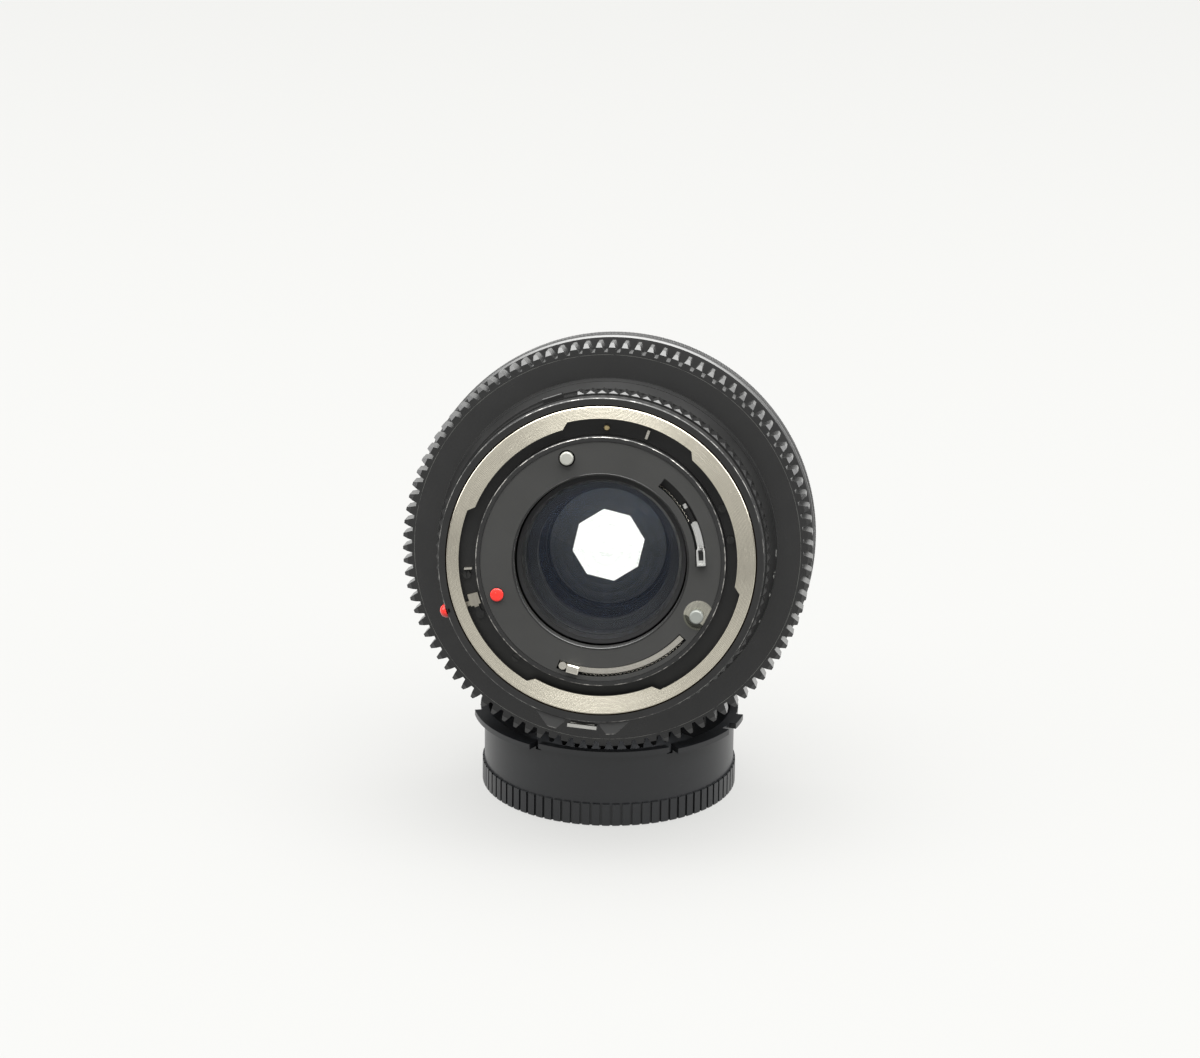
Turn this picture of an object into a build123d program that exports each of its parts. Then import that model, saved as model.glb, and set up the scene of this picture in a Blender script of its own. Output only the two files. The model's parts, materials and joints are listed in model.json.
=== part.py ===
from build123d import *
from math import acos, asin, atan2, cos, degrees, hypot, pi, radians, sin, sqrt, tan
import os

# Cinema prime lens that rests, tilted, on the upturned cap of its own rear mount.
# It is drawn focused close, with the optics and the front ring run out.
# Millimetres. The origin is the centre of the cap's base and +Z is up.
# Stations are counted along the lens axis, forwards from the flange face of the mount.
# Angles are counter-clockwise as seen from behind the lens, 0 to the right.

os.makedirs("parts", exist_ok=True)

# How the lens lies on its cap: where the front ring meets the cap's mouth, ahead of its middle
front_ring_rest = 5.35
seat_gap = 0.3

# Clearances
running_gap = 0.06
end_gap = 0.35
side_gap = 0.3
stud_play = 0.07

# Rear cap
cap_height = 15.8
cap_floor = 1.6
cap_wall = 0.75
cap_play = 0.2
cap_skirt_height = 4.5
cap_skirt_step = 0.4
cap_groove_count = 80
cap_groove_width = 0.5
cap_groove_depth = 0.35
cap_rim_step = 0.8
cap_rim_height = 1.1
cap_lug_reach = 2.2
cap_lugs = ((192.5, 47.0), (302.0, 50.0), (72.0, 48.0))
cap_lug_slit = (334.0, 7.0)
cap_slot_angles = (239.5, 302.0)
cap_slot_width = 1.2
cap_slot_depth = 1.7

# Mount housing, which stays still while the lens body turns round it
housing_radius = 23.95
housing_wall = 0.9
housing_rim = 1.45
ledge_width = 0.65
shelf_station = 1.45
shelf_thickness = 0.95
plate_thickness = 1.2
plate_sink = 0.15
plate_width = 6.49
plate_play = 0.05
baffle_wall = 0.4
baffle_length = 1.9
shelf_play = 0.14
retainer_thickness = 0.65
retainer_lap = 1.25
signal_pin_radius = 1.3
signal_pin_inset = 2.3
signal_pin_angle = 109.3
signal_pin_hole = 1.6
pin_standing = 1.2
dot_radius = 1.32
plate_dot_inset = 2.25
plate_dot_angle = 199.5
reserved_pin_radius = 1.33
reserved_pin_inset = 1.95
reserved_pin_angle = 331.7
cup_radius = 2.85
cup_inset = 1.75
cup_angle = 332.8
cup_wall = 0.35
cup_floor = 0.25

# Automatic diaphragm lever
auto_inset = 2.32
auto_width = 1.05
auto_start = 249.6
auto_sweep = 68.4
auto_slot = (249.0, 70.0)
auto_block_angle = 257.1
auto_block_length = 2.3
auto_block_width = 1.55
auto_stud_angle = 251.6
auto_stud_radius = 0.75
auto_stud_standing = 0.4
auto_spring_arc = (262.0, 55.0)
lever_standing = 1.7
lever_strip = 1.0
lever_lift = 0.25
lever_chamfer = 0.2
slot_play = 0.3
slot_spring_play = 0.45

# Aperture signal lever
signal_inset = 4.45
signal_width = 1.27
signal_start = 2.0
signal_sweep = 22.0
signal_slot = (-1.2, 55.2)
signal_tip_angle = 4.2
signal_tip_length = 3.05
signal_tip_width = 1.65
signal_tip_wall = 0.3
signal_tip_hollow = 0.8
signal_tip_standing = 1.2
signal_tail_end = 36.0
signal_tail_margin = 0.3
signal_hook_angle = 34.3
signal_hook_width = 0.4
signal_spring_arc = (26.0, 27.0)
spring_radius = 0.14
spring_gap = 0.1

# Bayonet ring and the collar round it
breech_gap = 2.11
tab_height = 1.18
undercut_depth = 1.06
bayonet_wall = 1.55
bayonet_depth = 2.6
bayonet_bevel = 0.45
tab_thickness = 1.2
tab_slant = 2.6
tabs = ((-12.0, 64.0), (105.0, 56.0), (240.0, 56.0))
collar_wall = 1.4
collar_back = 0.1
collar_lip = 0.6
guard_height = 2.35
guard_drop = 1.7
guard_rear = 0.6
guard_length = 4.3
guard_foot_angle = 17.4
guard_top_angles = (8.3, 11.3)
guard_inner_angle = 6.1
index_dot_angle = 200.0
index_dot_radius = 1.35
index_dot_depth = 0.75
index_dot_rise = 0.75
index_dot_station = 1.4

# Release button between its guards
button_angle = 264.8
button_sink = 0.85
button_bar = (5.65, 3.4, 0.67)
button_bar_station = 3.0
button_stem = (4.6, 1.6)
button_foot = (7.6, 0.7)
button_station = 3.6
button_notch_wall = 0.25
leaf_thickness = 0.2
leaf_bow = 0.5
leaf_half_angle = 6.0
leaf_width = 1.2

# Small pieces on the floor of the mount's recess
recess_screw_places = ((2.05, 188.3), (1.25, 230.7), (1.15, 24.6), (1.0, 10.4))
recess_screw_radius = 0.75
recess_screw_height = 0.5
recess_screw_slot = 0.2
stop_pin_radius = 0.55
stop_pin_space = 1.4
stop_pin_angle = 89.0
recess_piece_height = 1.1
stop_keys_space = 1.65
stop_keys_made = ((71.2, 1.75, 0.5), (185.5, 1.5, 0.4))
lock_space = 0.65
lock_width = 2.0
lock_start = 196.4
lock_sweep = 5.2
lock_arm_width = 0.9
lock_pivot_angle = 206.0
lock_boss_radius = 0.85
lock_thickness = 0.95
lock_arm_thickness = 0.35
lock_foot_angle = 200.2
lock_foot_reach = 0.9

# Core of the barrel
core_step_in = 2.85
core_wall = 1.4
core_flange = 2.2
core_throat = 6.4

# Aperture ring
aperture_width = 7.4
aperture_height = 4.5
aperture_bump = 0.65
aperture_bump_count = 92
aperture_smooth = (100.0, 60.0)
aperture_bevel = 0.55
aperture_wall = 2.6
aperture_bearing = 1.15
aperture_back = 32.4
aperture_on = 35.6
lock_button_angle = 109.0
lock_button_station = 2.55
lock_button_size = (4.0, 2.6)
lock_button_rise = 0.9
lock_button_foot = (5.4, 2.6, 0.7)

# Depth scale ring
scale_width = 5.4
scale_height = 4.8
scale_cone = 0.9

# Focus ring with its grip and its drive gear
shoulder_width = 2.05
shoulder_step = 0.15
shoulder_cone = 0.35
grip_width = 10.4
grip_thickness = 1.85
grip_groove_count = 60
grip_groove_width = 1.6
grip_groove_depth = 0.5
grip_groove_end = 0.8
focus_lip = 1.5
focus_lip_step = 0.35
focus_tube_wall = 3.1
focus_bearing = 2.95
gear_teeth = 98
gear_module = 0.8
gear_pressure_angle = 20.0
gear_width = 8.4
gear_root_depth = 1.0
gear_backlash = 0.05
tooth_bevel_height = 0.9
tooth_bevel_length = 0.6
focus_travel = 6.9

# Inner barrel and front of the lens
inner_wall = 3.54
inner_front_lap = 1.2
inner_flange = 1.4
inner_flange_lap = 1.6
guide_key_count = 3
guide_key_angle = 90.0
guide_key_sweep = 6.5
guide_key_play = 0.3
guide_key_length = 3.0
guide_key_back = 0.5
sleeve_gap = 0.36
sleeve_wall = 0.88
front_barrel_length = 4.2
front_web = 0.8
front_thread_step = 0.41
name_ring_lip = 0.6
name_ring_thickness = 0.8
front_ring_radius = 40.0
front_ring_width = 7.9
front_ring_web = 2.0
front_ring_neck_wall = 2.55
front_ring_wall = 1.9
front_ring_chamfer = 0.35

# Iris
iris_behind = 4.75
iris_base_thickness = 0.8
iris_base_lap = 0.2
iris_cover_lap = 0.3
iris_depth = 4.8
opening_side = 6.93
blade_count = 8
blade_first_angle = 25.7
blade_thickness = 0.15
blade_pitch = 0.2
blade_width = 6.9
blade_pivot_inset = 2.6
blade_pivot_step = 0.9
blade_start = -3.0
blade_sweep = 102.0
blade_root_radius = 1.2
blade_tail_radius = 1.05
blade_tail_angle = 8.5
stud_radius = 0.5
actuator_thickness = 0.8
actuator_station = 2.9
actuator_swing = 25.0

# Rear cell and its ring
rear_cell_play = 0.36
rear_cell_wall = 1.0
rear_cell_body_inset = 3.5
rear_cell_reach = 21.8
rear_cell_step = 8.3
rear_ring_lip = 0.4
rear_ring_thread = 0.3
rear_ring_thickness = 1.4

# Glass: rim thickness, and how far each face bulges, hollow faces negative
rear_glass = (1.8, 0.9, 2.0)
sixth_glass = (2.5, 0.2, 1.9)
doublet_rear_glass = (3.0, 2.4, 1.2)
doublet_front_glass = (4.6, -1.2, -2.0)
third_glass = (2.2, -2.6, 2.4)
second_glass = (1.5, -2.0, 2.9)
front_glass = (2.0, -1.5, 2.2)

# How much the rim of each element is smaller or larger than that of the one behind it
sixth_rim_step = 0.4
doublet_rim_step = 1.2
third_rim_step = 0.8
second_rim_step = 2.7
front_rim_step = 4.0
rim_gap = 0.15
lip_gap = 0.5
sixth_glass_reach = 8.2
middle_lip = 0.7
front_cell_lip = 1.3
front_cell_floor = 0.4
second_glass_space = 0.7
front_glass_space = 1.6

# Stations that follow from the sizes above
core_rear = bayonet_depth
core_flange_front = core_rear + core_flange
collar_front = core_flange_front + collar_lip
aperture_rear = collar_front + end_gap
aperture_front = aperture_rear + aperture_width
scale_rear = aperture_front + end_gap
scale_front = scale_rear + scale_width
focus_rear = scale_front + end_gap
gear_rear = focus_rear + shoulder_width
gear_front = gear_rear + gear_width
grip_front = gear_rear + grip_width
focus_front = grip_front + focus_lip
bearing_front = focus_rear + focus_bearing
sleeve_rear = bearing_front + side_gap + focus_travel
front_ring_rear = focus_front + side_gap + focus_travel
front_barrel_step = front_ring_rear - front_barrel_length
core_front = front_barrel_step - focus_travel - side_gap
web_rear = front_barrel_step + inner_front_lap
web_front = web_rear + front_web
name_ring_front = web_front + name_ring_thickness
front_edge = front_ring_rear + front_ring_width
core_step = core_rear + core_throat
housing_front = core_step + running_gap
retainer_front = housing_front + retainer_thickness
inner_rear = retainer_front + end_gap + focus_travel
iris_seat = focus_rear + iris_behind
iris_base_front = iris_seat + iris_base_thickness
iris_cover_front = iris_seat + iris_depth
iris_cover_rear = iris_cover_front - iris_base_thickness
inner_flange_rear = iris_seat - inner_flange
guide_key_rear = iris_seat - guide_key_back
guide_key_front = guide_key_rear + guide_key_length
cell_rear = iris_seat - rear_cell_reach
rear_ring_front = cell_rear + rear_ring_thickness
rear_glass_rear = rear_ring_front + rim_gap
rear_glass_front = rear_glass_rear + rear_glass[0]
sixth_glass_front = cell_rear + sixth_glass_reach
doublet_seam = inner_flange_rear - doublet_front_glass[0]
doublet_rear = doublet_seam - doublet_rear_glass[0]
third_glass_rear = iris_cover_front + front_cell_floor
second_glass_rear = third_glass_rear + third_glass[0] + second_glass_space
front_glass_rear = second_glass_rear + second_glass[0] + front_glass_space
front_glass_front = front_glass_rear + front_glass[0]
actuator_rear = iris_seat + actuator_station
actuator_front = actuator_rear + actuator_thickness
plate_face = plate_sink - housing_rim
plate_front = plate_face + plate_thickness
shelf_front = shelf_station + shelf_thickness
strip_front = shelf_station - lever_lift
strip_rear = strip_front - lever_strip
bayonet_recess = core_rear - recess_piece_height

# Radii that follow, from the housing outwards
tab_bore = housing_radius + breech_gap
gap_bore = tab_bore + tab_height
undercut_bore = gap_bore + undercut_depth
bayonet_radius = undercut_bore + bayonet_wall
collar_radius = bayonet_radius + collar_wall
guard_radius = collar_radius + guard_height
guard_seat = (bayonet_radius + collar_radius) / 2
core_radius = bayonet_radius - core_step_in
core_bore = housing_radius + running_gap
slide_bore = core_radius - core_wall
slide_radius = slide_bore - running_gap
ring_bore = core_radius + running_gap
button_notch_floor = core_radius + button_notch_wall
button_top = guard_radius - button_sink
aperture_radius = core_radius + aperture_height
bump_radius = aperture_radius + aperture_bump
scale_rear_radius = core_radius + scale_height
scale_front_radius = scale_rear_radius + scale_cone
sleeve_bore = core_radius + sleeve_gap
helicoid_radius = sleeve_bore + sleeve_wall
helicoid_bore = helicoid_radius + running_gap
focus_tube_radius = helicoid_bore + focus_tube_wall
grip_radius = focus_tube_radius + grip_thickness
shoulder_front_radius = grip_radius - shoulder_step
shoulder_rear_radius = shoulder_front_radius - shoulder_cone
focus_lip_radius = grip_radius - focus_lip_step
gear_pitch_radius = gear_module * gear_teeth / 2
gear_tip_radius = gear_pitch_radius + gear_module
gear_root_radius = gear_pitch_radius - gear_root_depth
gear_base_radius = gear_pitch_radius * cos(radians(gear_pressure_angle))
bevel_radius = gear_tip_radius - tooth_bevel_height
filter_radius = front_ring_radius - front_ring_wall

# Radii of the cap, which fits over the housing
mouth_radius = housing_radius + cap_play
cap_radius = mouth_radius + cap_wall
cap_skirt_radius = cap_radius + cap_skirt_step
cap_rim_radius = cap_radius + cap_rim_step
cap_lug_radius = cap_radius + cap_lug_reach

# Radii that follow, from the housing inwards
housing_bore = housing_radius - housing_wall
ledge_bore = housing_bore - ledge_width
plate_hole = housing_bore - plate_width
shelf_bore = plate_hole + baffle_wall + shelf_play
auto_inner = housing_bore - auto_inset
auto_outer = auto_inner + auto_width
signal_inner = housing_bore - signal_inset
signal_outer = signal_inner + signal_width
lock_inner = housing_radius + lock_space
lock_centre = lock_inner + lock_width / 2
inner_bore = slide_radius - inner_wall
front_thread_radius = slide_radius + front_thread_step
front_ring_neck_bore = front_thread_radius - front_ring_neck_wall
actuator_radius = inner_bore - running_gap
blade_pivot = inner_bore - blade_pivot_inset
blade_outer = blade_pivot - blade_pivot_step
blade_inner = blade_outer - blade_width
iris_base_bore = blade_inner - iris_base_lap
iris_cover_bore = blade_inner - iris_cover_lap
rear_cell_radius = plate_hole - rear_cell_play
rear_cell_body_radius = inner_bore - rear_cell_body_inset
rear_rim = rear_cell_radius - rear_cell_wall
rear_ring_bore = rear_rim - rear_ring_lip
rear_ring_radius = rear_rim + rear_ring_thread
sixth_rim = rear_rim - sixth_rim_step
doublet_rim = sixth_rim - doublet_rim_step
inner_flange_bore = doublet_rim - inner_flange_lap
third_rim = doublet_rim - third_rim_step
second_rim = third_rim + second_rim_step
front_rim = second_rim + front_rim_step
name_ring_bore = front_rim - name_ring_lip

# How far the blades turn, from open to closed
blade_share = aperture_back / (aperture_back + aperture_on)
blade_rest = degrees(2 * asin((blade_inner - opening_side) / (2 * blade_pivot)))
blade_swing = blade_rest / blade_share


def seated_lens():
    """Tilt and flange centre of the lens when its gear and its front ring rest on the cap's mouth"""
    tooth_station = gear_rear + tooth_bevel_length
    apart = front_edge - tooth_station
    ring_height = sqrt(front_ring_radius**2 - mouth_radius**2 + front_ring_rest**2)
    tilt = 0
    for _ in range(100):
        gear_rest = front_ring_rest - apart / cos(tilt)
        gear_height = sqrt(gear_tip_radius**2 - mouth_radius**2 + gear_rest**2)
        tilt = atan2(gear_height - ring_height, apart)
    y = front_ring_rest + ring_height * sin(tilt) - front_edge * cos(tilt)
    z = cap_height + seat_gap + ring_height * cos(tilt) + front_edge * sin(tilt)
    return tilt, (0, y, z)


lens_tilt, flange_centre = seated_lens()
rearwards = (0, -cos(lens_tilt), sin(lens_tilt))
crosswise = (0, sin(lens_tilt), cos(lens_tilt))
lens_frame = Plane(origin=flange_centre, x_dir=(1, 0, 0), z_dir=rearwards)
section = Plane(origin=flange_centre, x_dir=(1, 0, 0), z_dir=crosswise)
lens_axis = Axis(flange_centre, lens_frame.z_dir * -1)


def station(distance):
    """Plane across the lens at a station, which looks rearwards"""
    return lens_frame.offset(-distance)


def outward(angle, distance):
    """Plane that looks outwards from the lens axis, its x along the ring and its y rearwards"""
    direction = lens_frame.x_dir * cos(radians(angle)) + lens_frame.y_dir * sin(radians(angle))
    tangent = lens_frame.z_dir.cross(direction)
    return Plane(origin=station(distance).origin, x_dir=tangent, z_dir=direction)


def polar(radius, angle):
    """Point at a radius and an angle"""
    return (radius * cos(radians(angle)), radius * sin(radians(angle)))


def turn(outline, mode=Mode.ADD):
    """Turn a closed outline of (radius, station) points about the lens axis"""
    with BuildSketch(section) as profile:
        with BuildLine():
            Polyline(*outline, close=True)
        make_face()
    revolve(profile.sketch, axis=lens_axis, mode=mode)


def ring(inner, outer, rear, front, mode=Mode.ADD):
    """Turn a plain ring about the lens axis"""
    turn([(inner, rear), (outer, rear), (outer, front), (inner, front)], mode)


def sector(plane, inner, outer, start, sweep, height, mode=Mode.ADD):
    """Extrude a stretch of a ring from a plane"""
    with BuildSketch(plane) as stretch:
        with BuildLine():
            inner_arc = CenterArc((0, 0), inner, start, sweep)
            outer_arc = CenterArc((0, 0), outer, start, sweep)
            Line(inner_arc @ 0, outer_arc @ 0)
            Line(inner_arc @ 1, outer_arc @ 1)
        make_face()
    extrude(stretch.sketch, amount=height, mode=mode)


def disc(place, radius, rear, front, mode=Mode.ADD):
    """Extrude a round pin or hole that runs along the lens at a (radius, angle) place"""
    with BuildSketch(station(front)) as round_face:
        with Locations(polar(*place)):
            Circle(radius)
    extrude(round_face.sketch, amount=front - rear, mode=mode)


def block(place, width, length, rear, front, mode=Mode.ADD):
    """Extrude a block, its width along the radius, at a (radius, angle) place"""
    with BuildSketch(station(front)) as block_face:
        with Locations(Location((*polar(*place), 0), (0, 0, place[1]))):
            Rectangle(width, length)
    extrude(block_face.sketch, amount=front - rear, mode=mode)


def post(angle, at, length_along, width_along, inner, outer, mode=Mode.ADD):
    """Extrude a block that stands outwards from one radius to another"""
    with BuildSketch(outward(angle, at).offset(inner)) as post_face:
        Rectangle(length_along, width_along)
    extrude(post_face.sketch, amount=outer - inner, mode=mode)


# Rear cap, open side up
with BuildPart() as rear_cap:
    with BuildSketch(Plane.XZ):
        with BuildLine():
            Polyline(
                (0, 0),
                (cap_skirt_radius, 0),
                (cap_skirt_radius, cap_skirt_height),
                (cap_radius, cap_skirt_height),
                (cap_radius, cap_height - cap_rim_height),
                (cap_rim_radius, cap_height - cap_rim_height),
                (cap_rim_radius, cap_height),
                (mouth_radius, cap_height),
                (mouth_radius, cap_floor),
                (0, cap_floor),
                close=True,
            )
        make_face()
    revolve(axis=Axis.Z)
    for lug_start, lug_sweep in cap_lugs:
        sector(Plane.XY.offset(cap_height), cap_radius, cap_lug_radius, lug_start, lug_sweep, -cap_rim_height)
    sector(
        Plane.XY.offset(cap_height),
        cap_rim_radius,
        cap_lug_radius + cap_wall,
        *cap_lug_slit,
        -cap_rim_height,
        mode=Mode.SUBTRACT,
    )
    with BuildSketch(Plane.XY.offset(cap_height)):
        for slot_angle in cap_slot_angles:
            with Locations(Location((*polar(cap_radius, slot_angle), 0), (0, 0, slot_angle))):
                Rectangle(2 * cap_lug_reach, cap_slot_width)
    extrude(amount=-cap_slot_depth, mode=Mode.SUBTRACT)
    with BuildSketch(Plane.XY):
        with PolarLocations(cap_skirt_radius, cap_groove_count):
            Rectangle(2 * cap_groove_depth, cap_groove_width)
    extrude(amount=cap_skirt_height, mode=Mode.SUBTRACT)
rear_cap.part.label = "rear_cap"
export_step(rear_cap.part, "parts/rear_cap.step")

# Core of the barrel, which carries the mount in its flange and guides the optics in its bore
with BuildPart() as barrel_core:
    turn(
        [
            (core_bore, core_rear),
            (bayonet_radius, core_rear),
            (bayonet_radius, core_flange_front),
            (core_radius, core_flange_front),
            (core_radius, core_front),
            (slide_bore, core_front),
            (slide_bore, core_step),
            (core_bore, core_step),
        ]
    )
    for key in range(guide_key_count):
        sector(
            station(guide_key_front + side_gap),
            slide_radius,
            core_radius + side_gap,
            guide_key_angle + key * 360 / guide_key_count - (guide_key_sweep + guide_key_play) / 2,
            guide_key_sweep + guide_key_play,
            guide_key_length + focus_travel + 2 * side_gap,
            mode=Mode.SUBTRACT,
        )
    notch_half = degrees(asin((button_foot[0] / 2 + side_gap) / button_notch_floor))
    sector(
        station(core_flange_front),
        button_notch_floor,
        bayonet_radius + side_gap,
        button_angle - notch_half,
        2 * notch_half,
        core_flange,
        mode=Mode.SUBTRACT,
    )
barrel_core.part.label = "barrel_core"
export_step(barrel_core.part, "parts/barrel_core.step")

# Silver bayonet ring with its three tabs and the groove behind them
with BuildPart() as bayonet_ring:
    turn(
        [
            (gap_bore, 0),
            (bayonet_radius - bayonet_bevel, 0),
            (bayonet_radius, bayonet_bevel),
            (bayonet_radius, bayonet_depth),
            (undercut_bore, bayonet_depth),
            (undercut_bore, tab_thickness),
            (gap_bore, tab_thickness),
        ]
    )
    for tab_start, tab_sweep in tabs:
        with BuildSketch(station(tab_thickness)):
            with BuildLine():
                tab_edge = CenterArc((0, 0), tab_bore, tab_start + tab_slant, tab_sweep - 2 * tab_slant)
                tab_root = CenterArc((0, 0), gap_bore, tab_start, tab_sweep)
                Line(tab_edge @ 0, tab_root @ 0)
                Line(tab_edge @ 1, tab_root @ 1)
            make_face()
        extrude(amount=tab_thickness)
bayonet_ring.part.label = "bayonet_ring"
export_step(bayonet_ring.part, "parts/bayonet_ring.step")

# Black collar round the bayonet ring, with two guards beside the release button
with BuildPart() as mount_collar:
    turn(
        [
            (bayonet_radius, collar_back),
            (collar_radius - bayonet_bevel / 2, collar_back),
            (collar_radius, collar_back + bayonet_bevel / 2),
            (collar_radius, collar_front),
            (core_radius, collar_front),
            (core_radius, core_flange_front),
            (bayonet_radius, core_flange_front),
        ]
    )
    for side in (-1, 1):
        with BuildSketch(station(guard_rear + guard_length)):
            with BuildLine():
                Polyline(
                    polar(guard_seat, button_angle + side * guard_foot_angle),
                    polar(collar_radius, button_angle + side * guard_foot_angle),
                    polar(guard_radius, button_angle + side * guard_top_angles[1]),
                    polar(guard_radius, button_angle + side * guard_top_angles[0]),
                    polar(guard_radius - guard_drop, button_angle + side * guard_inner_angle),
                    polar(guard_seat, button_angle + side * guard_inner_angle),
                    close=True,
                )
            make_face()
        extrude(amount=guard_length)
    post(
        button_angle,
        button_station,
        button_stem[0] + 2 * stud_play,
        button_stem[1] + 2 * stud_play,
        core_radius,
        guard_radius,
        mode=Mode.SUBTRACT,
    )
    with BuildSketch(outward(index_dot_angle, index_dot_station).offset(collar_radius - index_dot_depth)):
        Circle(index_dot_radius)
    extrude(amount=index_dot_depth + index_dot_rise, mode=Mode.SUBTRACT)
mount_collar.part.label = "mount_collar"
export_step(mount_collar.part, "parts/mount_collar.step")

# Red half-round index dot, let into the collar
with BuildPart() as collar_index_dot:
    with BuildSketch(outward(index_dot_angle, index_dot_station).offset(collar_radius - index_dot_depth)):
        Circle(index_dot_radius)
    extrude(amount=index_dot_depth + index_dot_rise)
    dot_top = collar_index_dot.faces().sort_by(Axis(flange_centre, outward(index_dot_angle, 0).z_dir))[-1]
    fillet(dot_top.edges(), radius=index_dot_rise * 0.8)
collar_index_dot.part.label = "collar_index_dot"
export_step(collar_index_dot.part, "parts/collar_index_dot.step")

# Release button: a bright bar on a stem, kept in by its foot under the collar
foot_top = sqrt((bayonet_radius - stud_play) ** 2 - (button_foot[0] / 2) ** 2)
foot_bottom = foot_top - button_foot[1]
bar_bottom = button_top - button_bar[2]
with BuildPart() as release_button:
    post(button_angle, button_station, button_foot[0], button_stem[1], foot_bottom, foot_top)
    post(button_angle, button_station, button_stem[0], button_stem[1], foot_top, bar_bottom)
    post(button_angle, button_bar_station, button_bar[0], button_bar[1], bar_bottom, button_top)
release_button.part.label = "release_button"
export_step(release_button.part, "parts/release_button.step")

# Bowed leaf spring under the button, on the floor of the core's notch
leaf_top = button_notch_floor + leaf_thickness
with BuildPart() as release_spring:
    with BuildSketch(station(button_station + leaf_width / 2)):
        with BuildLine():
            under = ThreePointArc(
                polar(button_notch_floor, button_angle - leaf_half_angle),
                polar(button_notch_floor + leaf_bow, button_angle),
                polar(button_notch_floor, button_angle + leaf_half_angle),
            )
            over = ThreePointArc(
                polar(leaf_top, button_angle - leaf_half_angle),
                polar(leaf_top + leaf_bow, button_angle),
                polar(leaf_top, button_angle + leaf_half_angle),
            )
            Line(under @ 0, over @ 0)
            Line(under @ 1, over @ 1)
        make_face()
    extrude(amount=leaf_width)
release_spring.part.label = "release_spring"
export_step(release_spring.part, "parts/release_spring.step")

# Ring with the depth scale, a cone between the aperture ring and the focus ring
with BuildPart() as depth_scale_ring:
    turn(
        [
            (core_radius, scale_rear),
            (scale_rear_radius, scale_rear),
            (scale_front_radius, scale_front),
            (core_radius, scale_front),
        ]
    )
depth_scale_ring.part.label = "depth_scale_ring"
export_step(depth_scale_ring.part, "parts/depth_scale_ring.step")

# Slotted screws on the recess floor
with BuildPart() as recess_screws:
    for screw_space, screw_angle in recess_screw_places:
        place = (housing_radius + screw_space, screw_angle)
        disc(place, recess_screw_radius, core_rear - recess_screw_height, core_rear)
        block(
            place,
            recess_screw_slot,
            2 * recess_screw_radius,
            core_rear - recess_screw_height,
            core_rear - recess_screw_height / 2,
            mode=Mode.SUBTRACT,
        )
recess_screws.part.label = "recess_screws"
export_step(recess_screws.part, "parts/recess_screws.step")

# Brass pin on the recess floor
with BuildPart() as stop_pin:
    disc((housing_radius + stop_pin_space, stop_pin_angle), stop_pin_radius, bayonet_recess, core_rear)
    chamfer(stop_pin.faces().sort_by(lens_axis)[0].edges(), length=stop_pin_radius / 4)
stop_pin.part.label = "stop_pin"
export_step(stop_pin.part, "parts/stop_pin.step")

# Two steel keys on the recess floor
with BuildPart() as stop_keys:
    for key_angle, key_width, key_length in stop_keys_made:
        key_place = (housing_radius + stop_keys_space, key_angle)
        block(key_place, key_width, key_length, bayonet_recess, core_rear)
stop_keys.part.label = "stop_keys"
export_step(stop_keys.part, "parts/stop_keys.step")

# Lock lever, which turns on its boss over the recess floor
lock_front = core_rear - running_gap
with BuildPart() as lock_lever:
    sector(station(lock_front), lock_inner, lock_inner + lock_width, lock_start, lock_sweep, lock_thickness)
    sector(
        station(lock_front),
        lock_centre - lock_arm_width / 2,
        lock_centre + lock_arm_width / 2,
        lock_start,
        lock_pivot_angle - lock_start,
        lock_arm_thickness,
    )
    disc((lock_centre, lock_pivot_angle), lock_boss_radius, lock_front - lock_arm_thickness, lock_front)
    block(
        (lock_inner + lock_width, lock_foot_angle),
        2 * lock_foot_reach,
        lock_foot_reach,
        lock_front - lock_thickness / 2,
        lock_front,
    )
lock_lever.part.label = "lock_lever"
export_step(lock_lever.part, "parts/lock_lever.step")

# Housing of the mount: a thin drum with a ledge for the plate and a shelf under the levers
with BuildPart() as rear_housing:
    turn(
        [
            (housing_bore, -housing_rim),
            (housing_radius - plate_sink, -housing_rim),
            (housing_radius, plate_sink - housing_rim),
            (housing_radius, housing_front),
            (ledge_bore, housing_front),
            (ledge_bore, shelf_front),
            (shelf_bore, shelf_front),
            (shelf_bore, shelf_station),
            (ledge_bore, shelf_station),
            (ledge_bore, plate_front),
            (housing_bore, plate_front),
        ]
    )
rear_housing.part.label = "rear_housing"
export_step(rear_housing.part, "parts/rear_housing.step")

# Rear plate, pierced for the levers and the pins, with a baffle round the glass
plate_radius = housing_bore - plate_play
signal_pin_place = (housing_bore - signal_pin_inset, signal_pin_angle)
cup_place = (housing_bore - cup_inset, cup_angle)
plate_dot_place = (housing_bore - plate_dot_inset, plate_dot_angle)
with BuildPart() as rear_plate:
    ring(plate_hole, plate_radius, plate_face, plate_front)
    ring(plate_hole, plate_hole + baffle_wall, plate_front, plate_front + baffle_length)
    sector(
        station(plate_front),
        auto_inner - slot_play,
        auto_outer + slot_spring_play,
        *auto_slot,
        plate_thickness,
        mode=Mode.SUBTRACT,
    )
    sector(
        station(plate_front),
        signal_inner - slot_spring_play,
        signal_outer + slot_play,
        *signal_slot,
        plate_thickness,
        mode=Mode.SUBTRACT,
    )
    disc(signal_pin_place, signal_pin_hole, plate_face, plate_front, mode=Mode.SUBTRACT)
    disc(cup_place, cup_radius, plate_face, plate_front, mode=Mode.SUBTRACT)
    disc(plate_dot_place, dot_radius, plate_face, plate_face + plate_sink, mode=Mode.SUBTRACT)
rear_plate.part.label = "rear_plate"
export_step(rear_plate.part, "parts/rear_plate.step")

# Red dot let into the plate
with BuildPart() as plate_index_dot:
    disc(plate_dot_place, dot_radius, plate_face, plate_face + plate_sink)
plate_index_dot.part.label = "plate_index_dot"
export_step(plate_index_dot.part, "parts/plate_index_dot.step")

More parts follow.
